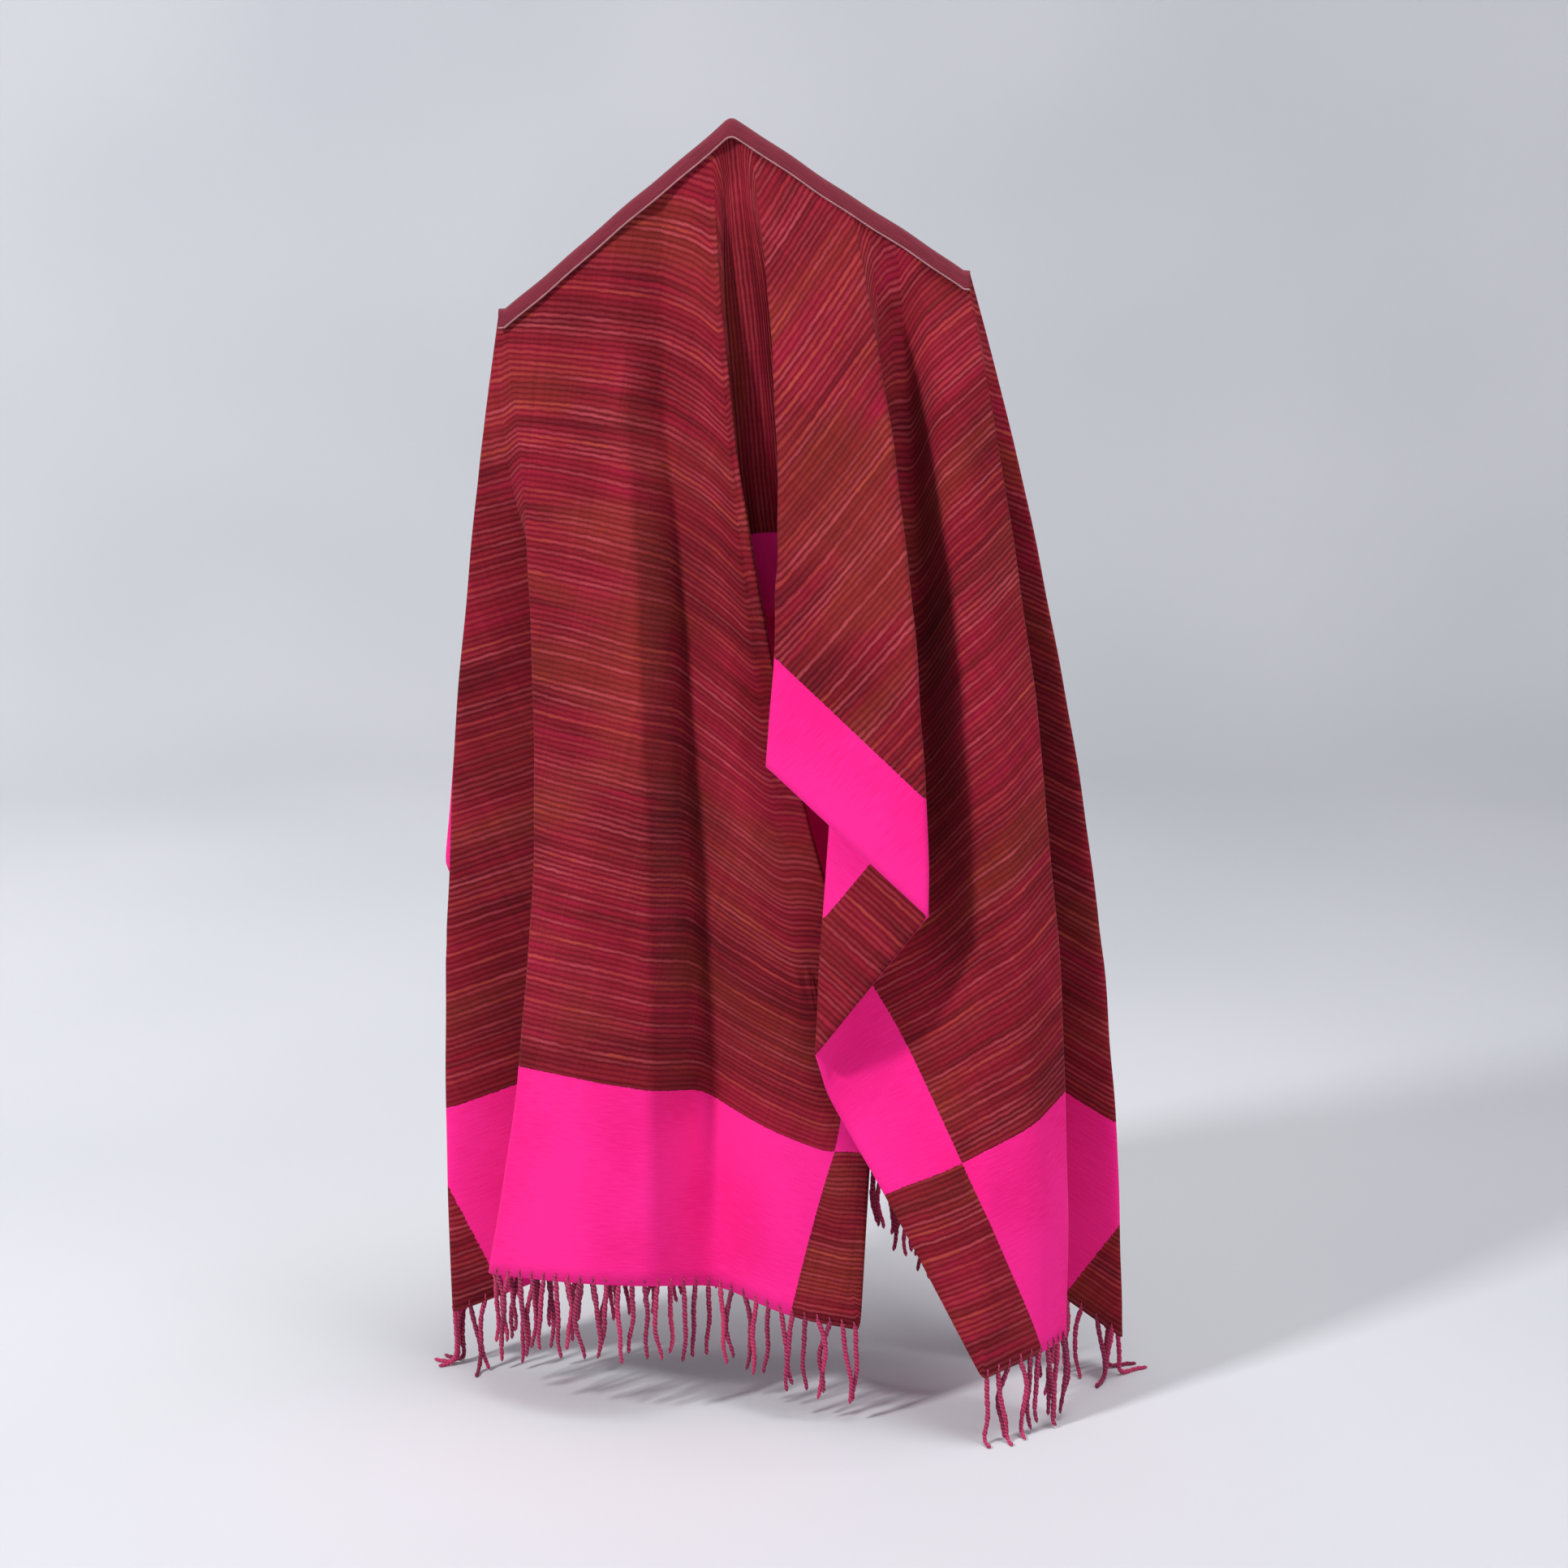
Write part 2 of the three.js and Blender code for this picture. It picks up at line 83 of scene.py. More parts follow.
PHOTO_SIZE = 1932
FOCAL_PIXELS = 3358.0
SENSOR_MM = 36.0
CAMERA_AT = (0.04397, -2.3, -0.1121)
CAMERA_PITCH = math.radians(10.9)


class Slot(Enum):
    """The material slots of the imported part."""

    CLOTH = "cloth"
    BAND = "band"
    FRINGE = "fringe"


class End(Enum):
    """The two fringed ends of the cloth, by their place along the warp."""

    LEFT = 0.0
    RIGHT = LENGTH


@dataclass(frozen=True)
class RidgeStation:
    """One place on the hanging fold: its x and drop, and its place on the cloth."""

    place: float
    x: float
    drop: float
    cloth: tuple[float, float]


@dataclass(frozen=True)
class Fall:
    """One fall line of the sheet.

    Attributes:
        name: What it follows.
        ridge: Its start on the hanging fold, -1 to 1.
        edge: The cloth place of its foot.
        foot: x, y and drop of its foot.
        side: -1 in front of the hanging fold or 1 behind it.
        soft: 0 for a crisp bend to 1 for a round one.
        turn: 1 or -1 for a sharp fold whose next layer lies behind or in front.
        bow: How far its middle stands off the straight line.
        slip: The same for its cloth place.
        opens: Share of its length over which a tucked layer stays shut.
        corner: Whether it ends at a corner of the cloth.
    """

    name: str
    ridge: float
    edge: tuple[float, float]
    foot: tuple[float, float, float]
    side: int = -1
    soft: float = 0.5
    turn: int = 0
    bow: tuple[float, float, float] = (0.0, 0.0, 0.0)
    slip: tuple[float, float] = (0.0, 0.0)
    opens: float = 0.0
    corner: bool = False


RIDGE = (
    RidgeStation(-1, -188, 156, (800, 330)),
    RidgeStation(0, 0, 0, (960, 518)),
    RidgeStation(0.5, 97, 62, (1075, 493)),
    RidgeStation(1, 193, 124, (1190, 453)),
)

FALLS = (
    Fall("strip", 0.02, (974, 920), (50, -8, 408)),
    Fall("tuck_right", 0.05, (1140, 920), (116, 12, 408), soft=0.12, turn=-1, opens=0.4),
    Fall("right_edge", 0.08, (1312, 920), (30, -92, 521), soft=0.1, turn=-1, bow=(16, -10, 0)),
    Fall("cascade_a", 0.5, (1489, 920), (163, -120, 642), soft=0.1, turn=1, bow=(14, -12, 0)),
    Fall("cascade_b", 0.58, (1635, 920), (70, -100, 765), soft=0.1, turn=1, opens=0.45),
    Fall("cascade_c", 0.65, (1712, 920), (82, -90, 806), bow=(26, 26, 0), opens=0.25),
    Fall("right_valley", 0.7, (1835, 920), (132, -108, 890), soft=0.7, bow=(28, 42, 0),
         slip=(-25, 0)),
    Fall("corner_right_front", 0.8, (2000, 920), (211, -140, 1036), bow=(14, -5, 0),
         corner=True),
    Fall("right_border", 0.88, (2000, 850), (265, -112, 1023), soft=0.6, bow=(14, -24, 0),
         slip=(12, 0)),
    Fall("right_fold", 1, (2000, 790), (287, -82, 1020), soft=0.1, turn=1, bow=(24, -14, 0),
         slip=(30, 0)),
    Fall("right_tuck", 1, (2000, 420), (-8, 76, 776), soft=0.1, turn=1, bow=(0, 25, 0),
         opens=0.5),
    Fall("right_layer", 1, (2000, 210), (150, 64, 932), soft=0.6, bow=(0, 12, 0), opens=0.5),
    Fall("right_outline", 1, (2000, 22), (345, -4, 1054), soft=0.2, turn=1, bow=(32, 0, 0)),
    Fall("corner_right_back", 1, (2000, 0), (334, 26, 1058), soft=0.4, bow=(26, 6, 0),
         corner=True),
    Fall("right_flute_1", 1, (1800, 0), (248, 84, 878), soft=0.4, bow=(0, 12, 0), opens=0.5),
    Fall("right_flute_2", 1, (1650, 0), (305, 112, 748), soft=0.4, opens=0.5),
    Fall("right_flute_3", 1, (1480, 0), (218, 130, 652), opens=0.5),
    Fall("back_right", 1, (1337, 0), (196, 70, 600), soft=0.7),
    Fall("back_right_2", 0.6, (1230, 0), (120, 104, 566), side=1, soft=0.9),
    Fall("back_right_3", 0.25, (1150, 0), (50, 74, 552), side=1, soft=0.9),
    Fall("back_middle", 0, (1090, 0), (0, 104, 526), side=1, soft=0.9),
    Fall("back_left_3", -0.3, (1010, 0), (-60, 74, 514), side=1, soft=0.9),
    Fall("back_left_2", -0.65, (930, 0), (-118, 106, 496), side=1, soft=0.9),
    Fall("back_left", -1, (850, 0), (-158, 70, 488), soft=0.7),
    Fall("left_flute_3", -1, (745, 0), (-180, 158, 474), opens=0.5),
    Fall("left_flute_2", -1, (640, 0), (-202, 68, 496), opens=0.5),
    Fall("left_flute_1", -1, (535, 0), (-230, 148, 560), soft=0.4, opens=0.5),
    Fall("left_swing", -1, (430, 0), (-260, 66, 642), soft=0.3, bow=(-4, 0, 0)),
    Fall("left_flute_0", -1, (270, 0), (-128, 52, 785), soft=0.3, turn=-1, opens=0.5),
    Fall("corner_left_back", -1, (0, 0), (-246, 42, 1050), soft=0.4, bow=(-16, 4, 0),
         corner=True),
    Fall("left_outline", -1, (0, 30), (-253, 22, 1040), soft=0.2, turn=-1, bow=(-22, 0, 0)),
    Fall("left_tuck", -1, (0, 270), (20, 16, 933), soft=0.1, turn=-1, opens=0.5),
    Fall("left_fold", -1, (0, 540), (-213, -38, 980), soft=0.1, turn=-1, bow=(34, -18, 0),
         slip=(-14, 0)),
    Fall("left_panel_1", -0.8, (0, 625), (-141, -88, 971), soft=0.8, bow=(20, -18, 0),
         slip=(-4, 0)),
    Fall("left_panel_2", -0.55, (0, 705), (-71, -94, 971), soft=0.3, bow=(16, -24, 0),
         slip=(8, 0)),
    Fall("left_valley", -0.3, (0, 775), (-12, -54, 986), soft=0.5, bow=(-10, 18, 0),
         slip=(14, 0)),
    Fall("left_border", -0.19, (0, 850), (50, -95, 999), soft=0.8, bow=(-8, -12, 0),
         slip=(30, 0)),
    Fall("corner_left_front", -0.12, (0, 920), (109, -95, 1011), soft=0.6, bow=(-16, -8, 0),
         slip=(50, -20), corner=True),
    Fall("left_edge", -0.08, (280, 920), (122, -62, 767), soft=0.1, turn=1, bow=(-30, -8, 0),
         slip=(20, -160)),
    Fall("tuck_left_1", -0.06, (600, 920), (4, -20, 540), soft=0.2, opens=0.4),
    Fall("tuck_left_2", -0.04, (780, 920), (-84, 20, 428), soft=0.2, turn=1, opens=0.4),
    Fall("strip_left", -0.02, (946, 920), (28, -8, 408)),
)


@dataclass(frozen=True)
class Crease:
    """A soft trough in the cloth: its middle, half length and half width on the cloth, the
    angle of its length from the warp in degrees, and its depth, all in millimetres."""

    at: tuple[float, float]
    half: tuple[float, float]
    angle: float
    depth: float


CREASES = (
    Crease((1694, 735), (42, 6), 78, 3.0),
    Crease((1684, 200), (40, 6), 70, 2.6),
    Crease((1650, 690), (60, 9), 66, 1.6),
    Crease((326, 762), (52, 5), 86, 3.2),
    Crease((344, 800), (40, 5), 74, 2.2),
    Crease((292, 585), (44, 5), 88, 3.0),
    Crease((306, 190), (46, 6), 84, 2.6),
    Crease((470, 575), (50, 7), 80, 1.6),
    Crease((1240, 800), (60, 8), 20, 1.4),
    Crease((640, 640), (70, 9), 84, 1.3),
)


def ease(k: np.ndarray | float) -> np.ndarray:
    """Smooth step from 0 to 1.

    Args:
        k: A share, or many, of any size.

    Returns:
        The eased share, held between 0 and 1.
    """
    s = np.clip(k, 0.0, 1.0)
    return s * s * (3 - 2 * s)


def unit(a: np.ndarray) -> np.ndarray:
    """Vectors of length 1 along those given, on the last axis."""
    return a / np.maximum(np.linalg.norm(a, axis=-1, keepdims=True), 1e-9)


def mix(a: np.ndarray, b: np.ndarray, k: np.ndarray | float) -> np.ndarray:
    """Straight mix of two arrays of places.

    Args:
        a: The places at share 0.
        b: The places at share 1.
        k: One share, or one for each row.

    Returns:
        The mixed places.
    """
    k = np.asarray(k, dtype=float)
    return a + (b - a) * (k[:, None] if k.ndim else k)


def ridge_height(x: np.ndarray) -> np.ndarray:
    """Height of the hanging fold: straight down to each shoulder from a rounded peak.

    Args:
        x: Places along it, in millimetres.

    Returns:
        The heights, in millimetres.
    """
    straight = np.interp(x, [r.x for r in RIDGE], [-r.drop for r in RIDGE])
    return straight - PEAK_SLOPE * np.maximum(PEAK_ROUND - np.abs(x), 0.0) ** 2 / PEAK_ROUND


def ridge_point(place: float) -> np.ndarray:
    """A place on the hanging fold.

    Args:
        place: -1 at the left shoulder to 1 at the right one.

    Returns:
        x, y, z, u and v in millimetres.
    """
    k = next((i for i in range(len(RIDGE) - 2) if place < RIDGE[i + 1].place), len(RIDGE) - 2)
    a, b = RIDGE[k], RIDGE[k + 1]
    share = (place - a.place) / (b.place - a.place)
    low = np.array([a.x, 0, -a.drop, *a.cloth], dtype=float)
    high = np.array([b.x, 0, -b.drop, *b.cloth], dtype=float)
    point = low + (high - low) * share
    point[2] = float(ridge_height(point[0]))
    return point


@dataclass
class Drape:
    """The sheet's middle surface, as rings of places round the hanging fold.

    Attributes:
        shares: Shares of a fall line's length at which it is built.
        bend_steps: Spans across each bend.
        span_step: Longest span between bends, in millimetres.
    """

    shares: np.ndarray
    bend_steps: int = 6
    span_step: float = 10.5
    starts: list[np.ndarray] = field(default_factory=list)

    def __post_init__(self) -> None:
        """Finds where every fall line starts."""
        self.starts = [self._start(fall) for fall in FALLS]

    def _start(self, fall: Fall) -> np.ndarray:
        """Where a fall line leaves the rounding of the hanging fold.

        Args:
            fall: The fall line.

        Returns:
            x, y, z, u and v in millimetres.
        """
        at = ridge_point(fall.ridge)
        if abs(fall.ridge) < 1:
            return at + np.array([0, fall.side * RIDGE_HALF_WIDTH, 0, 0, 0])
        shared = [other for other in FALLS if other.ridge == fall.ridge]
        angle = math.pi * ((shared.index(fall) + 0.5) / len(shared) - 0.5) * fall.ridge
        out = np.array([math.cos(angle) * fall.ridge, math.sin(angle), 0, 0, 0])
        return at + out * RIDGE_HALF_WIDTH

    def _line(self, index: int) -> np.ndarray:
        """A fall line's places at every share.

        Args:
            index: The fall line's place in FALLS.

        Returns:
            One row of x, y, z, u and v for each share.
        """
        fall, t = FALLS[index], self.shares[:, None]
        foot = np.array([fall.foot[0], fall.foot[1], -fall.foot[2], *fall.edge], dtype=float)
        bow = np.array([fall.bow[0], fall.bow[1], -fall.bow[2], *fall.slip], dtype=float)
        arch = 4 * t * (1 - np.minimum(t, 1.0))
        return self.starts[index] * (1 - t) + foot * t + bow * arch

    def _controls(self) -> list[tuple[np.ndarray, np.ndarray, np.ndarray, bool]]:
        """The control places round the sheet, of which a sharp fold has two.

        Returns:
            For each its places, its softness towards the one before and towards the one after,
            and whether it is a corner.
        """
        count, t = len(FALLS), self.shares
        raw = [self._line(i) for i in range(count)]
        one = np.ones_like(t)
        found = []
        for i, fall in enumerate(FALLS):
            place, width = raw[i], FOLD_WIDTH * ease(t / FOLD_OPENS)
            if fall.opens:
                a = next(i - k for k in range(1, count) if not FALLS[(i - k) % count].opens)
                b = next(i + k for k in range(1, count) if not FALLS[(i + k) % count].opens)
                shut = raw[a % count] + (raw[b % count] - raw[a % count]) * (i - a) / (b - a)
                open_ = ease(t / fall.opens)
                place = np.hstack([mix(shut, place, open_)[:, :3], place[:, 3:]])
                width = width * open_
            fade = 1 - 0.8 * np.minimum(t, 1.0) ** CORNER_FADE if fall.corner else one
            soft = (RIDGE_SOFT + (fall.soft - RIDGE_SOFT) * ease(t / SOFT_OPENS)) * fade
            if not fall.turn:
                found.append((place, soft, soft, fall.corner))
                continue
            half = np.zeros_like(place)
            half[:, 1] = fall.turn * width * 0.5
            found.append((place - half, soft, one, False))
            found.append((place + half, one, soft, False))
        return found

    def grid(self) -> np.ndarray:
        """The whole sheet.

        Returns:
            An array [ring, column, (x, y, z, u, v)] in millimetres.
        """
        nodes = self._controls()
        count = len(nodes)
        columns = []
        for i, (place, before, after, corner) in enumerate(nodes):
            last, (nxt, next_before, _, _) = nodes[i - 1], nodes[(i + 1) % count]
            start, end = mix(place, last[0], before / 2), mix(place, nxt, after / 2)
            first = 1 if before[-1] == 1 else 0
            for step in range(first, self.bend_steps + 1):
                w = step / self.bend_steps
                curve = mix(mix(start, place, w), mix(place, end, w), w)
                if corner:
                    even = mix(start, place, 2 * w) if w < 0.5 else mix(place, end, 2 * w - 1)
                    hem = np.clip(self.shares, 0, 1) ** HEM_EVENS
                    curve = np.hstack([curve[:, :3], mix(curve, even, hem)[:, 3:]])
                columns.append(curve)
            far = mix(nxt, place, next_before / 2)
            spans = max(1, math.ceil(np.linalg.norm((far - end)[-1, :3]) / self.span_step))
            columns.extend(mix(end, far, step / spans) for step in range(1, spans))
        return np.stack(columns, axis=1)


def smooth_round(a: np.ndarray, reach: int) -> np.ndarray:
    """Mean over the columns within reach, round the sheet."""
    return sum(np.roll(a, k, axis=1) for k in range(-reach, reach + 1)) / (2 * reach + 1)


def relief(cloth: np.ndarray) -> np.ndarray:
    """Small unevenness of the hung cloth along its normal.

    Args:
        cloth: Places on the cloth, [..., (u, v)], in millimetres.

    Returns:
        The rise at each place, in millimetres.
    """
    u, v = cloth[..., 0], cloth[..., 1]
    rise = 0.9 * np.sin(u / 47 + 1.3 * np.sin(v / 61)) * np.sin(v / 39 + 0.7 * np.sin(u / 83))
    rise += 0.5 * np.sin(u / 23 + v / 71 + 2.0) * np.sin(v / 19 - u / 97)
    for crease in CREASES:
        c, s = math.cos(math.radians(crease.angle)), math.sin(math.radians(crease.angle))
        du, dv = u - crease.at[0], v - crease.at[1]
        along, across = (du * c + dv * s) / crease.half[0], (dv * c - du * s) / crease.half[1]
        rise -= crease.depth * np.exp(-(along**2) - across**2)
        rise += 0.5 * crease.depth * np.exp(-(along**2) - (across - 1.6) ** 2)
    return rise


@dataclass
class MeshData:
    """Vertices, faces, one UV for each vertex and one material index for each face."""

    vertices: np.ndarray
    faces: list[tuple[int, ...]]
    uvs: np.ndarray
    indices: list[int] = field(default_factory=list)

    def to_object(self, name: str, materials: list[bpy.types.Material]) -> bpy.types.Object:
        """Makes the Blender object.

        Args:
            name: The piece's name.
            materials: Its materials, in slot order.

        Returns:
            The object, linked and shaded smooth.
        """
        mesh = bpy.data.meshes.new(name)
        mesh.from_pydata((self.vertices * MM).tolist(), [], self.faces)
        layer = mesh.uv_layers.new(name="cloth")
        order = np.concatenate([np.array(f) for f in self.faces])
        layer.data.foreach_set("uv", (self.uvs[order] * MM).astype(np.float32).ravel())
        for material in materials:
            mesh.materials.append(material)
        mesh.polygons.foreach_set("use_smooth", [True] * len(self.faces))
        if self.indices:
            mesh.polygons.foreach_set("material_index", self.indices)
        mesh.update()
        piece = bpy.data.objects.new(name, mesh)
        bpy.context.collection.objects.link(piece)
        return piece


@dataclass
class Nodes:
    """Short calls for building a shader tree."""

    tree: bpy.types.NodeTree

    def add(self, kind: str, **settings: object) -> bpy.types.Node:
        """Adds a node.

        Args:
            kind: Its type.
            settings: Attributes to set on it.

        Returns:
            The node.
        """
        node = self.tree.nodes.new(kind)
        for key, value in settings.items():
            setattr(node, key, value)
        return node

    def feed(self, socket: Socket, value: Feed) -> None:
        """Links a socket to a socket, or sets its value.

        Args:
            socket: The input socket.
            value: The output socket that feeds it, or its value.
        """
        if isinstance(value, Socket):
            self.tree.links.new(value, socket)
        else:
            socket.default_value = value

    def math(self, operation: str, *values: Feed) -> Socket:
        """Adds a math node.

        Args:
            operation: What it does.
            values: Its inputs, up to three.

        Returns:
            Its output.
        """
        node = self.add("ShaderNodeMath", operation=operation)
        for socket, value in zip(node.inputs, values):
            self.feed(socket, value)
        return node.outputs[0]

    def combine(self, x: Feed, y: Feed, z: Feed = 0.0) -> Socket:
        """Joins three values.

        Args:
            x: The first value.
            y: The second value.
            z: The third value.

        Returns:
            The vector.
        """
        node = self.add("ShaderNodeCombineXYZ")
        for socket, value in zip(node.inputs, (x, y, z)):
            self.feed(socket, value)
        return node.outputs[0]

    def noise(self, vector: Socket, scale: float = 1.0, detail: float = 0.0) -> Socket:
        """Adds smooth noise.

        Args:
            vector: The place it is read at.
            scale: How many of its waves fit in one unit.
            detail: How many finer waves it has.

        Returns:
            The noise, from 0 to 1.
        """
        node = self.add("ShaderNodeTexNoise", noise_dimensions="3D")
        self.feed(node.inputs["Vector"], vector)
        self.feed(node.inputs["Scale"], scale)
        self.feed(node.inputs["Detail"], detail)
        return node.outputs[0]

    def ramp(self, factor: Socket, stops: tuple[tuple[float, Colour], ...]) -> Socket:
        """Adds a colour ramp.

        Args:
            factor: Where on the ramp to read it.
            stops: Each stop's place and colour.

        Returns:
            The colour.
        """
        node = self.add("ShaderNodeValToRGB")
        self.feed(node.inputs[0], factor)
        elements = node.color_ramp.elements
        while len(elements) < len(stops):
            elements.new(1.0)
        for element, (place, colour) in zip(elements, stops):
            element.position, element.color = place, (*colour, 1.0)
        return node.outputs[0]

    def relief(
        self, shader: bpy.types.Node, height: Socket, strength: float, depth_mm: float
    ) -> None:
        """Raises a shader's surface by a bump.

        Args:
            shader: The shader.
            height: The height, 0 to about 1.
            strength: How strongly it shows.
            depth_mm: What a height of 1 stands for.
        """
        bump = self.add("ShaderNodeBump")
        bump.inputs["Strength"].default_value = strength
        bump.inputs["Distance"].default_value = depth_mm * MM
        self.feed(bump.inputs["Height"], height)
        self.feed(shader.inputs["Normal"], bump.outputs[0])

    def blend(self, factor: Feed, a: Feed, b: Feed, kind: str = "MIX") -> Socket:
        """Mixes two colours.

        Args:
            factor: The share of the second one.
            a: The first colour.
            b: The second colour.
            kind: How they mix.

        Returns:
            The mixed colour.
        """
        node = self.add("ShaderNodeMix", data_type="RGBA", blend_type=kind)
        self.feed(node.inputs[0], factor)
        for socket, value in zip((node.inputs[6], node.inputs[7]), (a, b)):
            self.feed(socket, (*value, 1.0) if isinstance(value, tuple) else value)
        return node.outputs[2]


def cloth_place(n: Nodes) -> tuple[Socket, Socket]:
    """Reads the piece's own UVs.

    Args:
        n: The tree's node helper.

    Returns:
        The two coordinates.
    """
    uv = n.add("ShaderNodeUVMap", uv_map="cloth")
    parts = n.add("ShaderNodeSeparateXYZ")
    n.feed(parts.inputs[0], uv.outputs[0])
    return parts.outputs[0], parts.outputs[1]


def new_group(
    name: str, inputs: dict[str, float], outputs: dict[str, str]
) -> tuple[bpy.types.NodeTree, Nodes, bpy.types.Node, bpy.types.Node]:
    """Starts a shader node group.

    Args:
        name: Its name.
        inputs: Each float input with its default.
        outputs: Each output with its socket type.

    Returns:
        The group, its node helper, its input node and its output node.
    """
    group = bpy.data.node_groups.new(name, "ShaderNodeTree")
    for key, value in inputs.items():
        socket = group.interface.new_socket(key, in_out="INPUT", socket_type="NodeSocketFloat")
        socket.default_value = value
    for key, kind in outputs.items():
        group.interface.new_socket(key, in_out="OUTPUT", socket_type=kind)
    nodes = Nodes(group)
    return group, nodes, nodes.add("NodeGroupInput"), nodes.add("NodeGroupOutput")


@dataclass(frozen=True)
class WeaveFinish:
    """Colours of the double weave, linear, and how deep its relief is."""

    dark: Colour = (0.13, 0.0045, 0.011)
    maroon: Colour = (0.20, 0.006, 0.016)
    crimson: Colour = (0.27, 0.006, 0.030)
    umber: Colour = (0.20, 0.020, 0.014)
    rose: Colour = (0.43, 0.062, 0.078)
    ember: Colour = (0.40, 0.062, 0.042)
    border: Colour = (0.93, 0.020, 0.265)
    border_deep: Colour = (0.84, 0.012, 0.205)
    rib_mm: float = 4.6
    bump_mm: float = 0.8
    bump: float = 0.55
    edge_wander: float = 0.0011  # of a border's edge to each side, in metres
    sway: float = 0.005  # slow and quick wander of a stripe, in metres
    shake: float = 0.0015
    roughness: float = 0.95
    specular: float = 0.1
    sheen: float = 0.03
    sheen_roughness: float = 0.5

    def build_group(self) -> bpy.types.NodeTree:
        """Builds the pattern's node group: stripes, borders and corner blocks by cloth place.

        Returns:
            The group, with outputs Colour and Height.
        """
        group, n, given, out = new_group(
            "double_weave",
            {"Warp": 0.0, "Weft": 0.0, "Reverse": 0.0},
            {"Colour": "NodeSocketColor", "Height": "NodeSocketFloat"},
        )
        u, v = given.outputs["Warp"], given.outputs["Weft"]
        jitter = n.noise(n.combine(u, v), 420.0, 1.0)
        shift = n.math("MULTIPLY_ADD", jitter, 2 * self.edge_wander, -self.edge_wander)
        edge_u, edge_v = n.math("ADD", u, shift), n.math("ADD", v, shift)
        end = n.math(
            "MAXIMUM",
            n.math("LESS_THAN", edge_u, END_BORDER * MM),
            n.math("GREATER_THAN", edge_u, (LENGTH - END_BORDER) * MM),
        )
        side = n.math(
            "MAXIMUM",
            n.math("LESS_THAN", edge_v, SIDE_BORDER * MM),
            n.math("GREATER_THAN", edge_v, (WIDTH - SIDE_BORDER) * MM),
        )
        crossed = n.math("ABSOLUTE", n.math("SUBTRACT", end, side))
        pink = n.math("ABSOLUTE", n.math("SUBTRACT", crossed, given.outputs["Reverse"]))
        heather = n.noise(n.combine(u, v, 0.2), 700.0, 2.0)
        warp_streak = n.noise(
            n.combine(n.math("MULTIPLY", u, 5.0), n.math("MULTIPLY", v, 340.0), 1.4), 1.0, 1.0
        )
        patch = n.noise(n.combine(u, v, 2.0), 9.0, 1.0)
        stripes, rib = self._stripes(n, u, v, heather, patch)
        streak = n.math("MULTIPLY_ADD", warp_streak, 0.36, 0.82)
        worn = n.math("MULTIPLY", streak, n.math("MULTIPLY_ADD", patch, 0.5, 0.66))
        stripes = n.blend(1.0, stripes, n.combine(worn, worn, worn), "MULTIPLY")

        rows = n.noise(n.combine(n.math("MULTIPLY", u, 900.0), n.math("MULTIPLY", v, 60.0), 5.0))
        depth = n.math("ADD", n.math("MULTIPLY", rows, 0.3), n.math("MULTIPLY", patch, 0.7))
        plain = n.ramp(depth, ((0.36, self.border_deep), (0.58, self.border)))
        line = n.math("MULTIPLY_ADD", heather, 0.2, 0.9)
        plain = n.blend(1.0, plain, n.combine(line, line, line), "MULTIPLY")

        n.feed(out.inputs["Colour"], n.blend(pink, stripes, plain))
        fuzz = n.math("MULTIPLY", heather, 0.5)
        ribbed = n.math("MULTIPLY", rib, n.math("SUBTRACT", 0.62, n.math("MULTIPLY", pink, 0.5)))
        n.feed(out.inputs["Height"], n.math("ADD", ribbed, fuzz))
        return group

    def _stripes(
        self, n: Nodes, u: Socket, v: Socket, heather: Socket, patch: Socket
    ) -> tuple[Socket, Socket]:
        """The striped field: a lighter raised line in each rib over slowly changing reds.

        Args:
            n: The tree's node helper.
            u: Place along the warp, in metres.
            v: Place across it.
            heather: Fine noise of mixed fibres.
            patch: Broad noise.

        Returns:
            The colour and the ribs' height.
        """
        sway = n.noise(n.combine(n.math("MULTIPLY", u, 26.0), n.math("MULTIPLY", v, 8.0), 4.0))
        shake = n.noise(n.combine(n.math("MULTIPLY", u, 200.0), n.math("MULTIPLY", v, 110.0)))
        along = n.math("ADD", n.math("MULTIPLY_ADD", sway, self.sway, u),
                       n.math("MULTIPLY", shake, self.shake))
        count = n.math("DIVIDE", along, self.rib_mm * MM)
        index, part = n.math("FLOOR", count), n.math("FRACT", count)
        rib = n.math("SINE", n.math("MULTIPLY", part, math.pi))
        pick = n.add("ShaderNodeTexWhiteNoise", noise_dimensions="1D")
        n.feed(pick.inputs["W"], index)
        chance = pick.outputs[0]
        dyed = n.noise(n.combine(n.math("MULTIPLY", index, 3.7), n.math("MULTIPLY", v, 7.0), 8.0))
        hue = n.noise(n.combine(n.math("MULTIPLY", u, 17.0), n.math("MULTIPLY", v, 5.0), 6.0), 1.0,
                      1.0)
        tone = n.math("ADD", n.math("MULTIPLY", dyed, 0.6), n.math("MULTIPLY", patch, 0.4))
        ground = n.ramp(tone, ((0.34, self.dark), (0.48, self.maroon), (0.66, self.crimson)))
        warm = n.math("MULTIPLY", n.math("SUBTRACT", hue, 0.5), 5.0)
        ground = n.blend(n.math("MINIMUM", n.math("MAXIMUM", warm, 0.0), 0.7), ground, self.umber)
        bright = n.blend(n.math("GREATER_THAN", dyed, 0.56), self.rose, self.ember)
        thread = n.noise(
            n.combine(n.math("MULTIPLY", index, 7.1), n.math("MULTIPLY", v, 26.0), 2.0)
        )
        strength = n.math("MULTIPLY", n.math("POWER", chance, 1.6), n.math("MULTIPLY", thread, 1.5))
        crest = n.math("MULTIPLY", n.math("POWER", rib, 2.2),
                       n.math("MULTIPLY_ADD", strength, 0.8, 0.10))
        crest = n.math("MULTIPLY", crest, n.math("MULTIPLY_ADD", heather, 1.1, 0.4))
        colour = n.blend(crest, ground, bright)
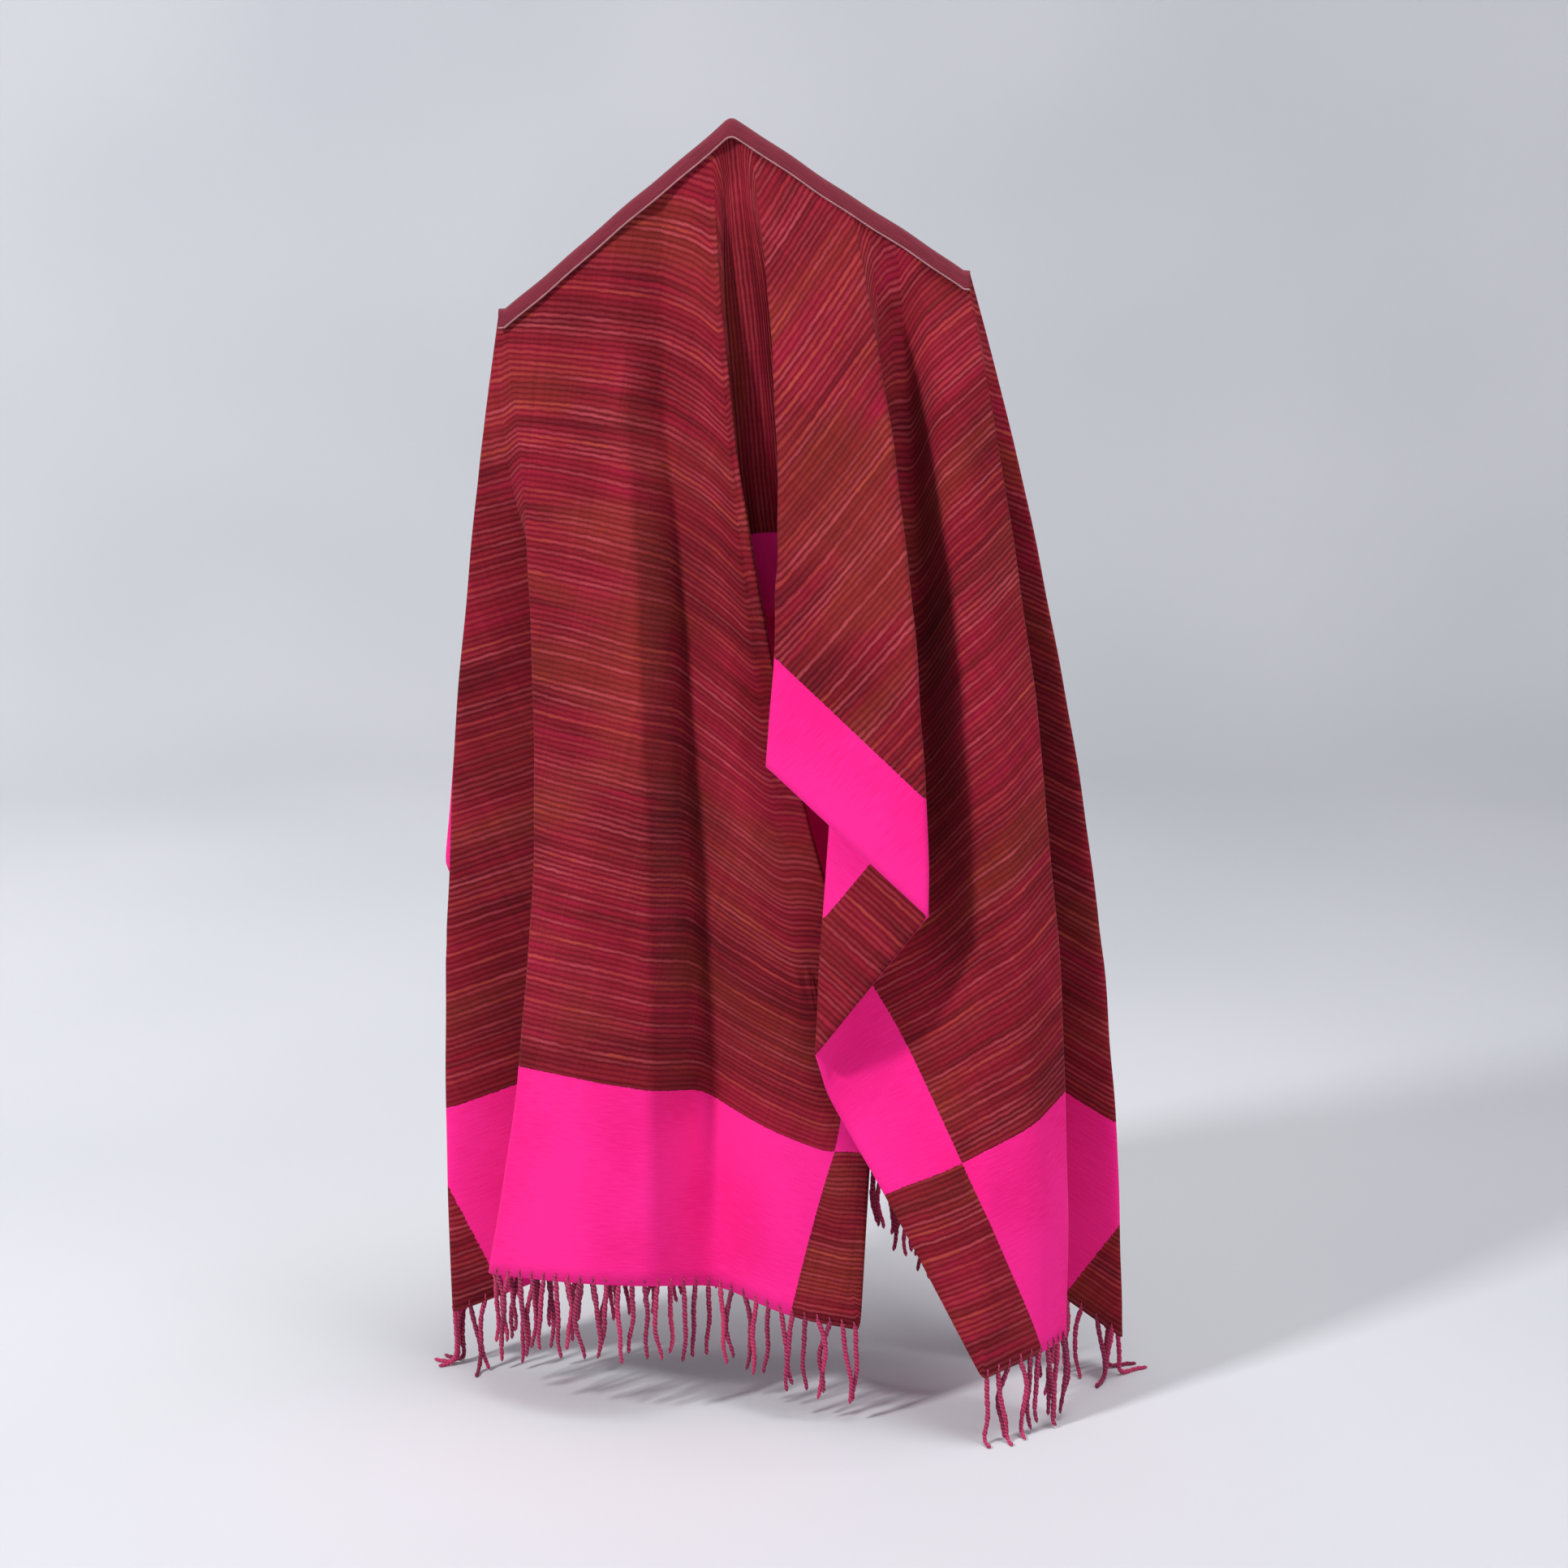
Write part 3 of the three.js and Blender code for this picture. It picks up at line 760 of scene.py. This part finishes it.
        gap = n.math("MULTIPLY_ADD", n.math("POWER", rib, 0.6), 0.4, 0.66)
        return n.blend(1.0, colour, n.combine(gap, gap, gap), "MULTIPLY"), rib

    def build_material(
        self, name: str, group: bpy.types.NodeTree, reverse: bool
    ) -> bpy.types.Material:
        """Builds one face's material.

        Args:
            name: The material's name.
            group: The pattern's group.
            reverse: Whether it is the sheet's reverse, where the colours swap.

        Returns:
            The material.
        """
        material, n, shader = new_material(name)
        warp, weft = cloth_place(n)
        weave = n.add("ShaderNodeGroup", node_tree=group)
        n.feed(weave.inputs["Warp"], warp)
        n.feed(weave.inputs["Weft"], weft)
        n.feed(weave.inputs["Reverse"], 1.0 if reverse else 0.0)
        n.feed(shader.inputs["Base Color"], weave.outputs["Colour"])
        shader.inputs["Roughness"].default_value = self.roughness
        shader.inputs["Specular IOR Level"].default_value = self.specular
        shader.inputs["Sheen Weight"].default_value = self.sheen
        shader.inputs["Sheen Roughness"].default_value = self.sheen_roughness
        n.relief(shader, weave.outputs["Height"], self.bump, self.bump_mm)
        return material


def new_material(name: str) -> tuple[bpy.types.Material, Nodes, bpy.types.Node]:
    """Starts a material with a principled shader.

    Args:
        name: Its name.

    Returns:
        The material, its node helper and the shader node.
    """
    material = bpy.data.materials.new(name)
    material.use_nodes = True
    tree = material.node_tree
    tree.nodes.clear()
    nodes = Nodes(tree)
    shader = nodes.add("ShaderNodeBsdfPrincipled")
    output = nodes.add("ShaderNodeOutputMaterial")
    tree.links.new(shader.outputs[0], output.inputs[0])
    return material, nodes, shader


@dataclass(frozen=True)
class YarnFinish:
    """A yarn's two tones, linear, the pitch of its twist and its roughness."""

    name: str
    light: Colour
    deep: Colour
    twist_mm: float = 3.4
    roughness: float = 0.9
    specular: float = 0.2
    sheen: float = 0.15
    bump: float = 0.6
    bump_mm: float = 0.6

    def build_group(self) -> bpy.types.NodeTree:
        """Builds the yarn's group: twisted plies with loose fibres.

        Returns:
            The group, with outputs Colour and Height.
        """
        group, n, given, out = new_group(
            self.name + "_yarn",
            {"Along": 0.0, "Around": 0.0, "Seed": 0.0},
            {"Colour": "NodeSocketColor", "Height": "NodeSocketFloat"},
        )
        along, around = given.outputs["Along"], given.outputs["Around"]
        turn = n.math("MULTIPLY", along, 2 * math.pi / (self.twist_mm * MM))
        spin = n.math("MULTIPLY", around, 4 * math.pi)
        ply = n.math("MULTIPLY_ADD", n.math("SINE", n.math("ADD", turn, spin)), 0.5, 0.5)
        fibre = n.noise(n.combine(along, n.math("MULTIPLY", around, 0.006),
                                  given.outputs["Seed"]), 900.0, 2.0)
        patch = n.noise(n.combine(n.math("MULTIPLY", along, 30.0), given.outputs["Seed"]))
        tone = n.math("ADD", n.math("MULTIPLY", ply, 0.4), n.math("MULTIPLY", fibre, 0.35))
        tone = n.math("ADD", tone, n.math("MULTIPLY", patch, 0.3))
        pick = n.add("ShaderNodeTexWhiteNoise", noise_dimensions="1D")
        n.feed(pick.inputs["W"], given.outputs["Seed"])
        tone = n.math("ADD", tone, n.math("MULTIPLY_ADD", pick.outputs[0], 0.36, -0.2))
        n.feed(out.inputs["Colour"], n.ramp(tone, ((0.28, self.deep), (0.72, self.light))))
        n.feed(out.inputs["Height"], n.math("ADD", ply, n.math("MULTIPLY", fibre, 0.5)))
        return group

    def build_material(self) -> bpy.types.Material:
        """Builds the material, over UVs of length in metres and turns round the yarn.

        Returns:
            The material.
        """
        material, n, shader = new_material(self.name)
        along, round_place = cloth_place(n)
        turns = n.math("MULTIPLY", round_place, 1 / MM)
        yarn = n.add("ShaderNodeGroup", node_tree=self.build_group())
        n.feed(yarn.inputs["Along"], along)
        n.feed(yarn.inputs["Around"], n.math("FRACT", turns))
        n.feed(yarn.inputs["Seed"], n.math("FLOOR", turns))
        n.feed(shader.inputs["Base Color"], yarn.outputs["Colour"])
        shader.inputs["Roughness"].default_value = self.roughness
        shader.inputs["Specular IOR Level"].default_value = self.specular
        shader.inputs["Sheen Weight"].default_value = self.sheen
        n.relief(shader, yarn.outputs["Height"], self.bump, self.bump_mm)
        return material


@dataclass
class Cloth:
    """The draped sheet: striped face and reverse, borders, selvages and hems."""

    finish: WeaveFinish = field(default_factory=WeaveFinish)
    rings: int = 62
    first_shares: tuple[float, ...] = (0.0, 0.002, 0.005, 0.009, 0.014)  # at the hanging fold
    hem_past: float = 0.0028  # share of a fall line that the hem goes on past its foot
    crown_arcs: tuple[float, ...] = (90.0, 60.0, 30.0)  # degrees up over the hanging fold
    crown_lift: float = 0.6

    def surface(self) -> tuple[np.ndarray, np.ndarray, np.ndarray]:
        """The sheet's middle surface with its small unevenness.

        Returns:
            Its places, cloth places and normals, each [ring, column, ...].
        """
        even = np.linspace(0.02, 1 + self.hem_past, self.rings)
        shares = np.concatenate([np.array(self.first_shares), even])
        grid = Drape(shares).grid()
        places, cloth = grid[..., :3], grid[..., 3:]
        down = np.gradient(places, axis=0)
        around = np.roll(places, -1, axis=1) - np.roll(places, 1, axis=1)
        normals = unit(np.cross(smooth_round(down, 1), smooth_round(around, 1)))
        calm = ease((shares - 0.05) / 0.2)[:, None]
        places = places + normals * (relief(cloth) * calm)[..., None]
        return places, cloth, normals

    def crown(
        self, places: np.ndarray, cloth: np.ndarray, normals: np.ndarray
    ) -> tuple[np.ndarray, np.ndarray, np.ndarray]:
        """Closes the sheet over the hanging fold.

        Args:
            places: The middle surface's places.
            cloth: Its cloth places.
            normals: Its normals.

        Returns:
            The three, with the rings of the crown before their own.
        """
        centre = places[0].copy()
        centre[:, 0] = np.clip(centre[:, 0], RIDGE[0].x, RIDGE[-1].x)
        centre[:, 1] = 0.0
        centre[:, 2] = ridge_height(centre[:, 0])
        rings, ring_normals = [], []
        for arc in np.radians(self.crown_arcs):
            ring = centre + (places[0] - centre) * math.cos(arc)
            ring[:, 2] += RIDGE_RISE * math.sin(arc)
            rings.append(ring)
            lift = np.array([0, 0, self.crown_lift]) * math.sin(arc)
            ring_normals.append(normals[0] * math.cos(arc) + lift)
        return (
            np.concatenate([np.stack(rings), places]),
            np.concatenate([np.repeat(cloth[:1], len(rings), axis=0), cloth]),
            np.concatenate([np.stack(ring_normals), normals]),
        )

    @staticmethod
    def skin_faces(rings: int, count: int) -> tuple[list[tuple[int, ...]], list[int]]:
        """Faces of the two-sided sheet that goes round.

        Args:
            rings: How many rings each side has.
            count: How many places a ring has.

        Returns:
            The faces, and each one's material: 0 for the face and the edges, 1 for the reverse.
        """
        c = np.arange(count)
        d = (c + 1) % count
        starts = np.arange(rings - 1)[:, None] * count
        a, b = (starts + c).ravel(), (starts + d).ravel()
        far, last = rings * count, (rings - 1) * count
        outer = np.stack([a, a + count, b + count, b], axis=1)
        inner = np.stack([a, b, b + count, a + count], axis=1) + far
        hem = np.stack([last + c, far + last + c, far + last + d, last + d], axis=1)
        top = np.stack([c, d, far + d, far + c], axis=1)
        faces = np.concatenate([outer, inner, hem, top])
        indices = [0] * len(outer) + [1] * len(inner) + [0] * (len(hem) + len(top))
        return [tuple(f) for f in faces.tolist()], indices

    def mesh(self) -> MeshData:
        """The sheet's two sides, closed at the hem and over the hanging fold.

        Returns:
            The mesh.
        """
        places, cloth, normals = self.crown(*self.surface())
        rings, count, _ = places.shape
        half = THICKNESS / 2
        skin = np.concatenate([places + normals * half, places - normals * half])
        uvs = np.concatenate([cloth, cloth]).reshape(-1, 2)
        faces, indices = self.skin_faces(rings, count)
        return MeshData(skin.reshape(-1, 3), faces, uvs, indices)

    def build(self) -> bpy.types.Object:
        """Builds the piece.

        Returns:
            The cloth, riding on the root and standing for its solid.
        """
        group = self.finish.build_group()
        materials = [
            self.finish.build_material("cloth_face", group, False),
            self.finish.build_material("cloth_reverse", group, True),
        ]
        piece = self.mesh().to_object("blanket_cloth", materials)
        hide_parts("cloth")
        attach(piece, "root")
        return piece


def tube(path: np.ndarray, radii: np.ndarray, sides: int, lobes: float, turns: float,
         seed: int) -> MeshData:
    """A closed tube of yarn.

    Args:
        path: Its middle line, [point, (x, y, z)], in millimetres.
        radii: Its radius at each point.
        sides: How many sides it has.
        lobes: How much its two plies stand out, as a share of the radius.
        turns: How many times the plies turn over its length.
        seed: A whole number that sets its colours.

    Returns:
        The mesh, its UVs being the length and the seed plus turns round it.
    """
    ahead = unit(np.gradient(path, axis=0))
    side = unit(np.cross(ahead, np.array([0.31, -0.93, 0.11])))
    up = np.cross(side, ahead)
    lengths = np.concatenate([[0], np.cumsum(np.linalg.norm(np.diff(path, axis=0), axis=1))])
    angle = np.linspace(0, 2 * math.pi, sides, endpoint=False)
    twist = 2 * math.pi * turns * lengths / lengths[-1]
    swell = 1 + lobes * np.cos(2 * (angle[None, :] - twist[:, None]))
    ring = (
        side[:, None, :] * np.cos(angle)[None, :, None]
        + up[:, None, :] * np.sin(angle)[None, :, None]
    )
    places = path[:, None, :] + ring * (radii[:, None] * swell)[..., None]
    count = len(path)
    v = seed + 0.5 * np.abs(1 - 2 * np.arange(sides) / sides) + 0.1
    uvs = np.stack(np.broadcast_arrays(lengths[:, None], v[None, :]), axis=-1).reshape(-1, 2)
    faces = []
    for r in range(count - 1):
        for k in range(sides):
            a, b = r * sides + k, r * sides + (k + 1) % sides
            faces.append((a, a + sides, b + sides, b))
    faces.append(tuple(range(sides)))
    faces.append(tuple(reversed(range((count - 1) * sides, count * sides))))
    return MeshData(places.reshape(-1, 3), faces, uvs)


def joined(parts: list[MeshData]) -> MeshData:
    """Several meshes as one.

    Args:
        parts: The meshes.

    Returns:
        The mesh that holds them all.
    """
    vertices, faces, uvs, start = [], [], [], 0
    for part in parts:
        vertices.append(part.vertices)
        uvs.append(part.uvs)
        faces.extend(tuple(i + start for i in f) for f in part.faces)
        start += len(part.vertices)
    return MeshData(np.concatenate(vertices), faces, np.concatenate(uvs))


@dataclass
class Fringe:
    """The tassels of one short end."""

    end: End
    node: str
    pitch: float = 12.5
    length: float = 68.0
    radius: float = 2.2
    inset: float = 5.0
    points: int = 28
    curl: float = 9.0  # height over the floor at which a tassel starts to turn out
    bite: float = 5.0  # how far above the hem its stitch starts
    lobes: float = 0.16
    twist: float = 12.0  # length of one turn of its plies

    def hem(self) -> tuple[np.ndarray, np.ndarray, np.ndarray, np.ndarray]:
        """The hem of this end, from corner to corner.

        Returns:
            Its places, its ways out of the cloth and down, and its places across the cloth.
        """
        grid = Drape(np.array([0.97, 1.0])).grid()
        last = grid[-1]
        on_hem = np.abs(last[:, 3] - self.end.value) < 0.5
        first = next(i for i in range(len(last)) if on_hem[i] and not on_hem[i - 1])
        order = np.roll(np.arange(len(last)), -first)
        order = order[: int(np.argmin(on_hem[order]))]
        places = last[order, :3]
        down = unit(places - grid[0][order, :3])
        around = unit(np.roll(last[:, :3], -1, axis=0) - np.roll(last[:, :3], 1, axis=0))[order]
        return places, unit(np.cross(down, around)), down, last[order, 4]

    def tassel(self, root: np.ndarray, out: np.ndarray, down: np.ndarray, k: int) -> MeshData:
        """One twisted tassel: a small stitch through the hem, then a curving fall that lies out
        where it meets the floor.

        Args:
            root: Its place on the hem.
            out: The way out of the cloth there.
            down: The way down the cloth there.
            k: Its number along the hem, which sets its bends.

        Returns:
            The tassel.
        """
        # wave and drift differ from tassel to tassel; pair leans neighbours to each other
        wave, drift = math.sin(k * 2.4), math.sin(k * 4.1 + 1)
        pair = 1.0 if k % 2 else -1.0
        share = np.linspace(0, 1, self.points)
        path = (self.length + 5 * wave) * share
        start = root + down * 0.6
        outward = unit(np.array([out[0], out[1], 0.0]))
        along = np.array([-outward[1], outward[0], 0.0])
        lying = -FLOOR_DROP + self.radius * 0.75
        hang = max(0.0, start[2] - lying - self.curl)
        over = np.maximum(0.0, path - hang)
        curl = np.clip(over / (self.curl * 1.5), 0, 1)
        drop = np.minimum(path, hang) + self.curl * (1 - (1 - curl) ** 2)
        belly = np.sin(share * math.pi * (1.0 + 0.35 * math.sin(k * 5.3)))
        sway = (4.6 * drift + 2.2 * wave) * belly + 1.5 * np.sin(share * 9 + k) * share
        sway += pair * (2.2 + 1.6 * math.sin(k * 0.9)) * ease(share * 1.1) + 4.5 * wave * share**2
        lean = (2.4 * wave - 1.2 * drift) * belly + 1.8 * np.sin(share * 5 + k * 1.3) * share
        reach = over * curl * 0.8
        z = np.maximum(lying, np.where(over > 0, start[2] - drop, start[2] - path))
        line = start + along * sway[:, None] + outward * (reach + lean)[:, None]
        line[:, 2] = z
        stitch = np.array([
            root - down * self.bite + out * 1.3,
            root - down * self.bite * 0.5 + out * 1.75,
            root - down * 0.4 + out * 1.5,
        ])
        thin = self.radius * (1 - 0.3 * share**3)
        thin *= 1 + 0.07 * np.sin(share * 31 + k)
        thin[0] *= 0.85
        thin[-1] *= 0.45
        radii = np.concatenate([[0.45, 0.85, 1.1], thin])
        turns = self.length / self.twist
        return tube(np.concatenate([stitch, line]), radii, YARN_SIDES, self.lobes, turns, k + 1)

    def build(self, material: bpy.types.Material) -> bpy.types.Object:
        """Builds the end's tassels as one piece.

        Args:
            material: Their yarn.

        Returns:
            The piece, riding on the root and standing for its solid.
        """
        places, out, down, across = self.hem()
        order = np.argsort(across)
        count = int((WIDTH - 2 * self.inset) // self.pitch)
        tassels = []
        for k in range(count + 1):
            at = self.inset + (WIDTH - 2 * self.inset) * k / count
            pick = [
                np.array([np.interp(at, across[order], a[order, i]) for i in range(3)])
                for a in (places, out, down)
            ]
            tassels.append(self.tassel(pick[0], unit(pick[1]), unit(pick[2]), k))
        piece = joined(tassels).to_object("blanket_" + self.node, [material])
        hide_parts(self.node)
        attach(piece, "root")
        return piece


@dataclass
class TopBand:
    """The plain band folded over the hanging fold, with a pale line at its lower edge."""

    thickness: float = 1.7
    overhang: float = 5.0
    steps: int = 150
    section: tuple[tuple[float, float], ...] = (
        (10.6, -12.6), (10.3, -10.4), (9.7, -7.2), (8.8, -3.6), (7.7, -0.4), (5.8, 2.0),
        (2.8, 3.0), (0.0, 3.2),
    )
    flare: float = 2.4
    flare_reach: float = 45.0
    line_radius: float = 0.75
    line_turns: float = 90.0

    def stations(self) -> np.ndarray:
        """The band's run over the hanging fold.

        Returns:
            x and z of each place along it, in millimetres.
        """
        xs = np.linspace(RIDGE[0].x - self.overhang, RIDGE[-1].x + self.overhang, self.steps)
        zs = ridge_height(xs) + 0.6 * np.sin(xs / 19) + 0.3 * np.sin(xs / 7.3 + 1)
        return np.stack([xs, zs], axis=1)

    def stand_off(self, x: np.ndarray, y: np.ndarray, rise: np.ndarray) -> np.ndarray:
        """How far a place of the section stands further out: a slight waviness of the hem,
        and a flare behind each shoulder, where the cloth's flutes leave it.

        Args:
            x: The places along the band.
            y: How far the section's places stand out already.
            rise: Their heights over the hanging fold.

        Returns:
            What is added to y, in millimetres.
        """
        low = np.clip(rise / self.section[0][1], 0.0, 1.0)
        to_end = np.minimum(x - RIDGE[0].x, RIDGE[-1].x - x)
        behind = self.flare * ease(1 - to_end / self.flare_reach) * (y > 0)
        return np.sign(y) * low * (behind + 0.3 * np.sin(x / 13) + 0.2 * np.sin(x / 5.1 + 2))

    def mesh(self) -> MeshData:
        """The band as a closed folded strip.

        Returns:
            The mesh, its UVs being the place along the band and the length round its section.
        """
        half = np.array(self.section)
        outer = np.concatenate([half * [1, 1], (half * [-1, 1])[::-1][1:]])
        shrink = np.array([self.thickness, 0.0])
        inner = outer - np.sign(outer) * shrink
        inner[:, 1] -= self.thickness * np.exp(-(outer[:, 0] / 7) ** 2)
        profile = np.concatenate([outer, inner[::-1]])
        run = self.stations()
        sides = len(profile)
        wobble = self.stand_off(run[:, :1], profile[None, :, 0], profile[None, :, 1])
        places = np.stack(
            [
                np.broadcast_to(run[:, :1], (len(run), sides)),
                np.broadcast_to(profile[:, 0], (len(run), sides)) + wobble,
                run[:, 1:] + profile[None, :, 1],
            ],
            axis=-1,
        )
        lengths = np.concatenate(
            [[0], np.cumsum(np.linalg.norm(np.diff(profile, axis=0), axis=1))]
        )
        uvs = np.stack(np.broadcast_arrays(run[:, :1], lengths[None, :]), axis=-1)
        faces = []
        for r in range(len(run) - 1):
            for k in range(sides):
                a, b = r * sides + k, r * sides + (k + 1) % sides
                faces.append((a, b, b + sides, a + sides))
        for base, flip in ((0, True), ((len(run) - 1) * sides, False)):
            for k in range(sides // 2 - 1):
                quad = (base + k, base + k + 1, base + sides - 2 - k, base + sides - 1 - k)
                faces.append(tuple(reversed(quad)) if flip else quad)
        return MeshData(places.reshape(-1, 3), faces, uvs.reshape(-1, 2))

    def edge_line(self, side: int) -> MeshData:
        """The pale stitched line at the band's lower edge.

        Args:
            side: -1 in front or 1 behind.

        Returns:
            The line.
        """
        run = self.stations()
        y = side * (self.section[0][0] + 0.1)
        low = np.full(len(run), self.section[0][1])
        path = np.stack(
            [
                run[:, 0],
                y + self.stand_off(run[:, 0], np.full(len(run), y), low),
                run[:, 1] + self.section[0][1] + 0.2,
            ],
            axis=1,
        )
        radii = np.full(len(run), self.line_radius)
        return tube(path, radii, YARN_SIDES, 0.1, self.line_turns, 3 + side)

    def build(self) -> list[bpy.types.Object]:
        """Builds the band and its pale line.

        Returns:
            The two pieces.
        """
        band = self.mesh().to_object("blanket_band", [self.band_material()])
        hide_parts("top_band")
        pale = YarnFinish("pale_line", (0.42, 0.19, 0.21), (0.17, 0.05, 0.06), 2.2)
        line = joined([self.edge_line(-1), self.edge_line(1)]).to_object(
            "blanket_band_line", [pale.build_material()]
        )
        for piece in (band, line):
            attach(piece, "root")
        return [band, line]

    @staticmethod
    def band_material() -> bpy.types.Material:
        """A plain dark red wool, finer than the cloth's stripes.

        Returns:
            The material.
        """
        material, n, shader = new_material("band_wool")
        x, y = cloth_place(n)
        slub = n.noise(n.combine(n.math("MULTIPLY", x, 60.0), n.math("MULTIPLY", y, 900.0)), 1.0,
                       2.0)
        fuzz = n.noise(n.combine(x, y, 0.3), 900.0, 2.0)
        tone = n.math("ADD", n.math("MULTIPLY", slub, 0.6), n.math("MULTIPLY", fuzz, 0.4))
        colour = n.ramp(tone, ((0.3, (0.085, 0.008, 0.017)), (0.7, (0.21, 0.016, 0.036))))
        n.feed(shader.inputs["Base Color"], colour)
        shader.inputs["Roughness"].default_value = 0.88
        shader.inputs["Specular IOR Level"].default_value = 0.2
        shader.inputs["Sheen Weight"].default_value = 0.15
        n.relief(shader, tone, 0.5, 0.6)
        return material


@dataclass
class Blanket:
    """The whole blanket: its cloth, band and two fringes."""

    cloth: Cloth = field(default_factory=Cloth)
    band: TopBand = field(default_factory=TopBand)
    fringes: tuple[Fringe, ...] = (
        Fringe(End.LEFT, "fringe_left"),
        Fringe(End.RIGHT, "fringe_right"),
    )
    yarn: YarnFinish = YarnFinish("fringe_wool", (0.60, 0.040, 0.14), (0.16, 0.014, 0.05))

    def build(self) -> None:
        cloth = self.cloth.build()
        pieces = self.band.build()
        material = self.yarn.build_material()
        pieces += [fringe.build(material) for fringe in self.fringes]
        for piece in (cloth, *pieces):
            log.info("%s: %d faces", piece.name, len(piece.data.polygons))


@dataclass(frozen=True)
class Lamp:
    """A soft square light: its name, place, aim and side in metres, and power in watts."""

    name: str
    at: tuple[float, float, float]
    aim: tuple[float, float, float]
    size: float
    power: float

    def build(self) -> None:
        """Adds the light."""
        data = bpy.data.lights.new(self.name, "AREA")
        data.energy, data.size = self.power, self.size
        lamp = bpy.data.objects.new(self.name, data)
        lamp.location = self.at
        way = Vector(self.aim) - Vector(self.at)
        lamp.rotation_euler = way.to_track_quat("-Z", "Y").to_euler()
        bpy.context.collection.objects.link(lamp)


@dataclass
class Studio:
    """The pale room, the soft lights and the camera at the photograph's angle."""

    flat_radius: float = 3.0
    sweep_radius: float = 1.6
    sweep_steps: int = 16
    height: float = 3.6
    sides: int = 72
    air: tuple[float, ...] = (0.86, 0.90, 1.0, 1.0)
    air_strength: float = 0.07
    lamps: tuple[Lamp, ...] = (
        Lamp("key", (-2.45, -2.0, 1.9), (0.0, 0.0, -0.55), 0.45, 124.0),
        Lamp("fill", (2.3, -2.3, 0.4), (0.3, 0.0, -0.6), 1.2, 18.0),
        Lamp("top", (0.7, -0.4, 2.4), (0.6, 0.0, -1.1), 1.8, 76.0),
        Lamp("wall", (-1.6, 1.0, 1.8), (-2.6, 3.9, 0.0), 1.4, 56.0),
    )

    def backdrop(self) -> None:
        """A round floor that sweeps up into a wall on all sides."""
        profile = [(0.8, 0.0), (1.9, 0.0), (self.flat_radius, 0.0)]
        for step in range(1, self.sweep_steps + 1):
            a = math.pi / 2 * step / self.sweep_steps
            profile.append((
                self.flat_radius + self.sweep_radius * math.sin(a),
                self.sweep_radius * (1 - math.cos(a)),
            ))
        profile.append((self.flat_radius + self.sweep_radius, self.height))
        places = [(0.0, 0.0, -FLOOR_DROP * MM)]
        for radius, z in profile:
            for k in range(self.sides):
                a = 2 * math.pi * k / self.sides
                x, y = radius * math.cos(a), radius * math.sin(a)
                places.append((x, y, z - FLOOR_DROP * MM))
        faces = [(0, 1 + k, 1 + (k + 1) % self.sides) for k in range(self.sides)]
        for r in range(len(profile) - 1):
            for k in range(self.sides):
                near = 1 + r * self.sides
                c, d = near + k, near + (k + 1) % self.sides
                faces.append((c, c + self.sides, d + self.sides, d))
        mesh = bpy.data.meshes.new("studio_floor")
        mesh.from_pydata(places, [], faces)
        mesh.polygons.foreach_set("use_smooth", [True] * len(faces))
        floor = bpy.data.objects.new("studio_floor", mesh)
        bpy.context.collection.objects.link(floor)
        mesh.materials.append(self.paper())

    @staticmethod
    def paper() -> bpy.types.Material:
        """Pale grey paper, a little uneven in tone.

        Returns:
            The material.
        """
        material, n, shader = new_material("studio_paper")
        spot = n.noise(n.add("ShaderNodeTexCoord").outputs["Object"], 1.1, 1.0)
        tone = n.ramp(spot, ((0.3, (0.60, 0.61, 0.65)), (0.7, (0.66, 0.665, 0.70))))
        n.feed(shader.inputs["Base Color"], tone)
        shader.inputs["Roughness"].default_value = 0.8
        return material

    @staticmethod
    def camera() -> None:
        """The camera, set to compute with the photograph's own size."""
        data = bpy.data.cameras.new("camera")
        data.sensor_width = SENSOR_MM
        data.lens = SENSOR_MM * FOCAL_PIXELS / PHOTO_SIZE
        camera = bpy.data.objects.new("camera", data)
        camera.location = CAMERA_AT
        camera.rotation_euler = (math.pi / 2 - CAMERA_PITCH, 0.0, 0.0)
        bpy.context.collection.objects.link(camera)
        bpy.context.scene.camera = camera

    def build(self) -> None:
        """Builds the room, the lights and the camera."""
        self.backdrop()
        world = bpy.data.worlds.new("studio_world")
        bpy.context.scene.world = world
        world.use_nodes = True
        background = world.node_tree.nodes["Background"]
        background.inputs[0].default_value = self.air
        background.inputs[1].default_value = self.air_strength
        for lamp in self.lamps:
            lamp.build()
        bpy.context.scene.view_settings.view_transform = "Standard"
        self.camera()


def main() -> None:
    """Builds the scene over the fixed frame."""
    logging.basicConfig(level=logging.INFO, format="%(message)s")
    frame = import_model()
    log.info("frame: %d nodes", len(frame["nodes"]))
    Blanket().build()
    Studio().build()


if __name__ == "__main__":
    main()
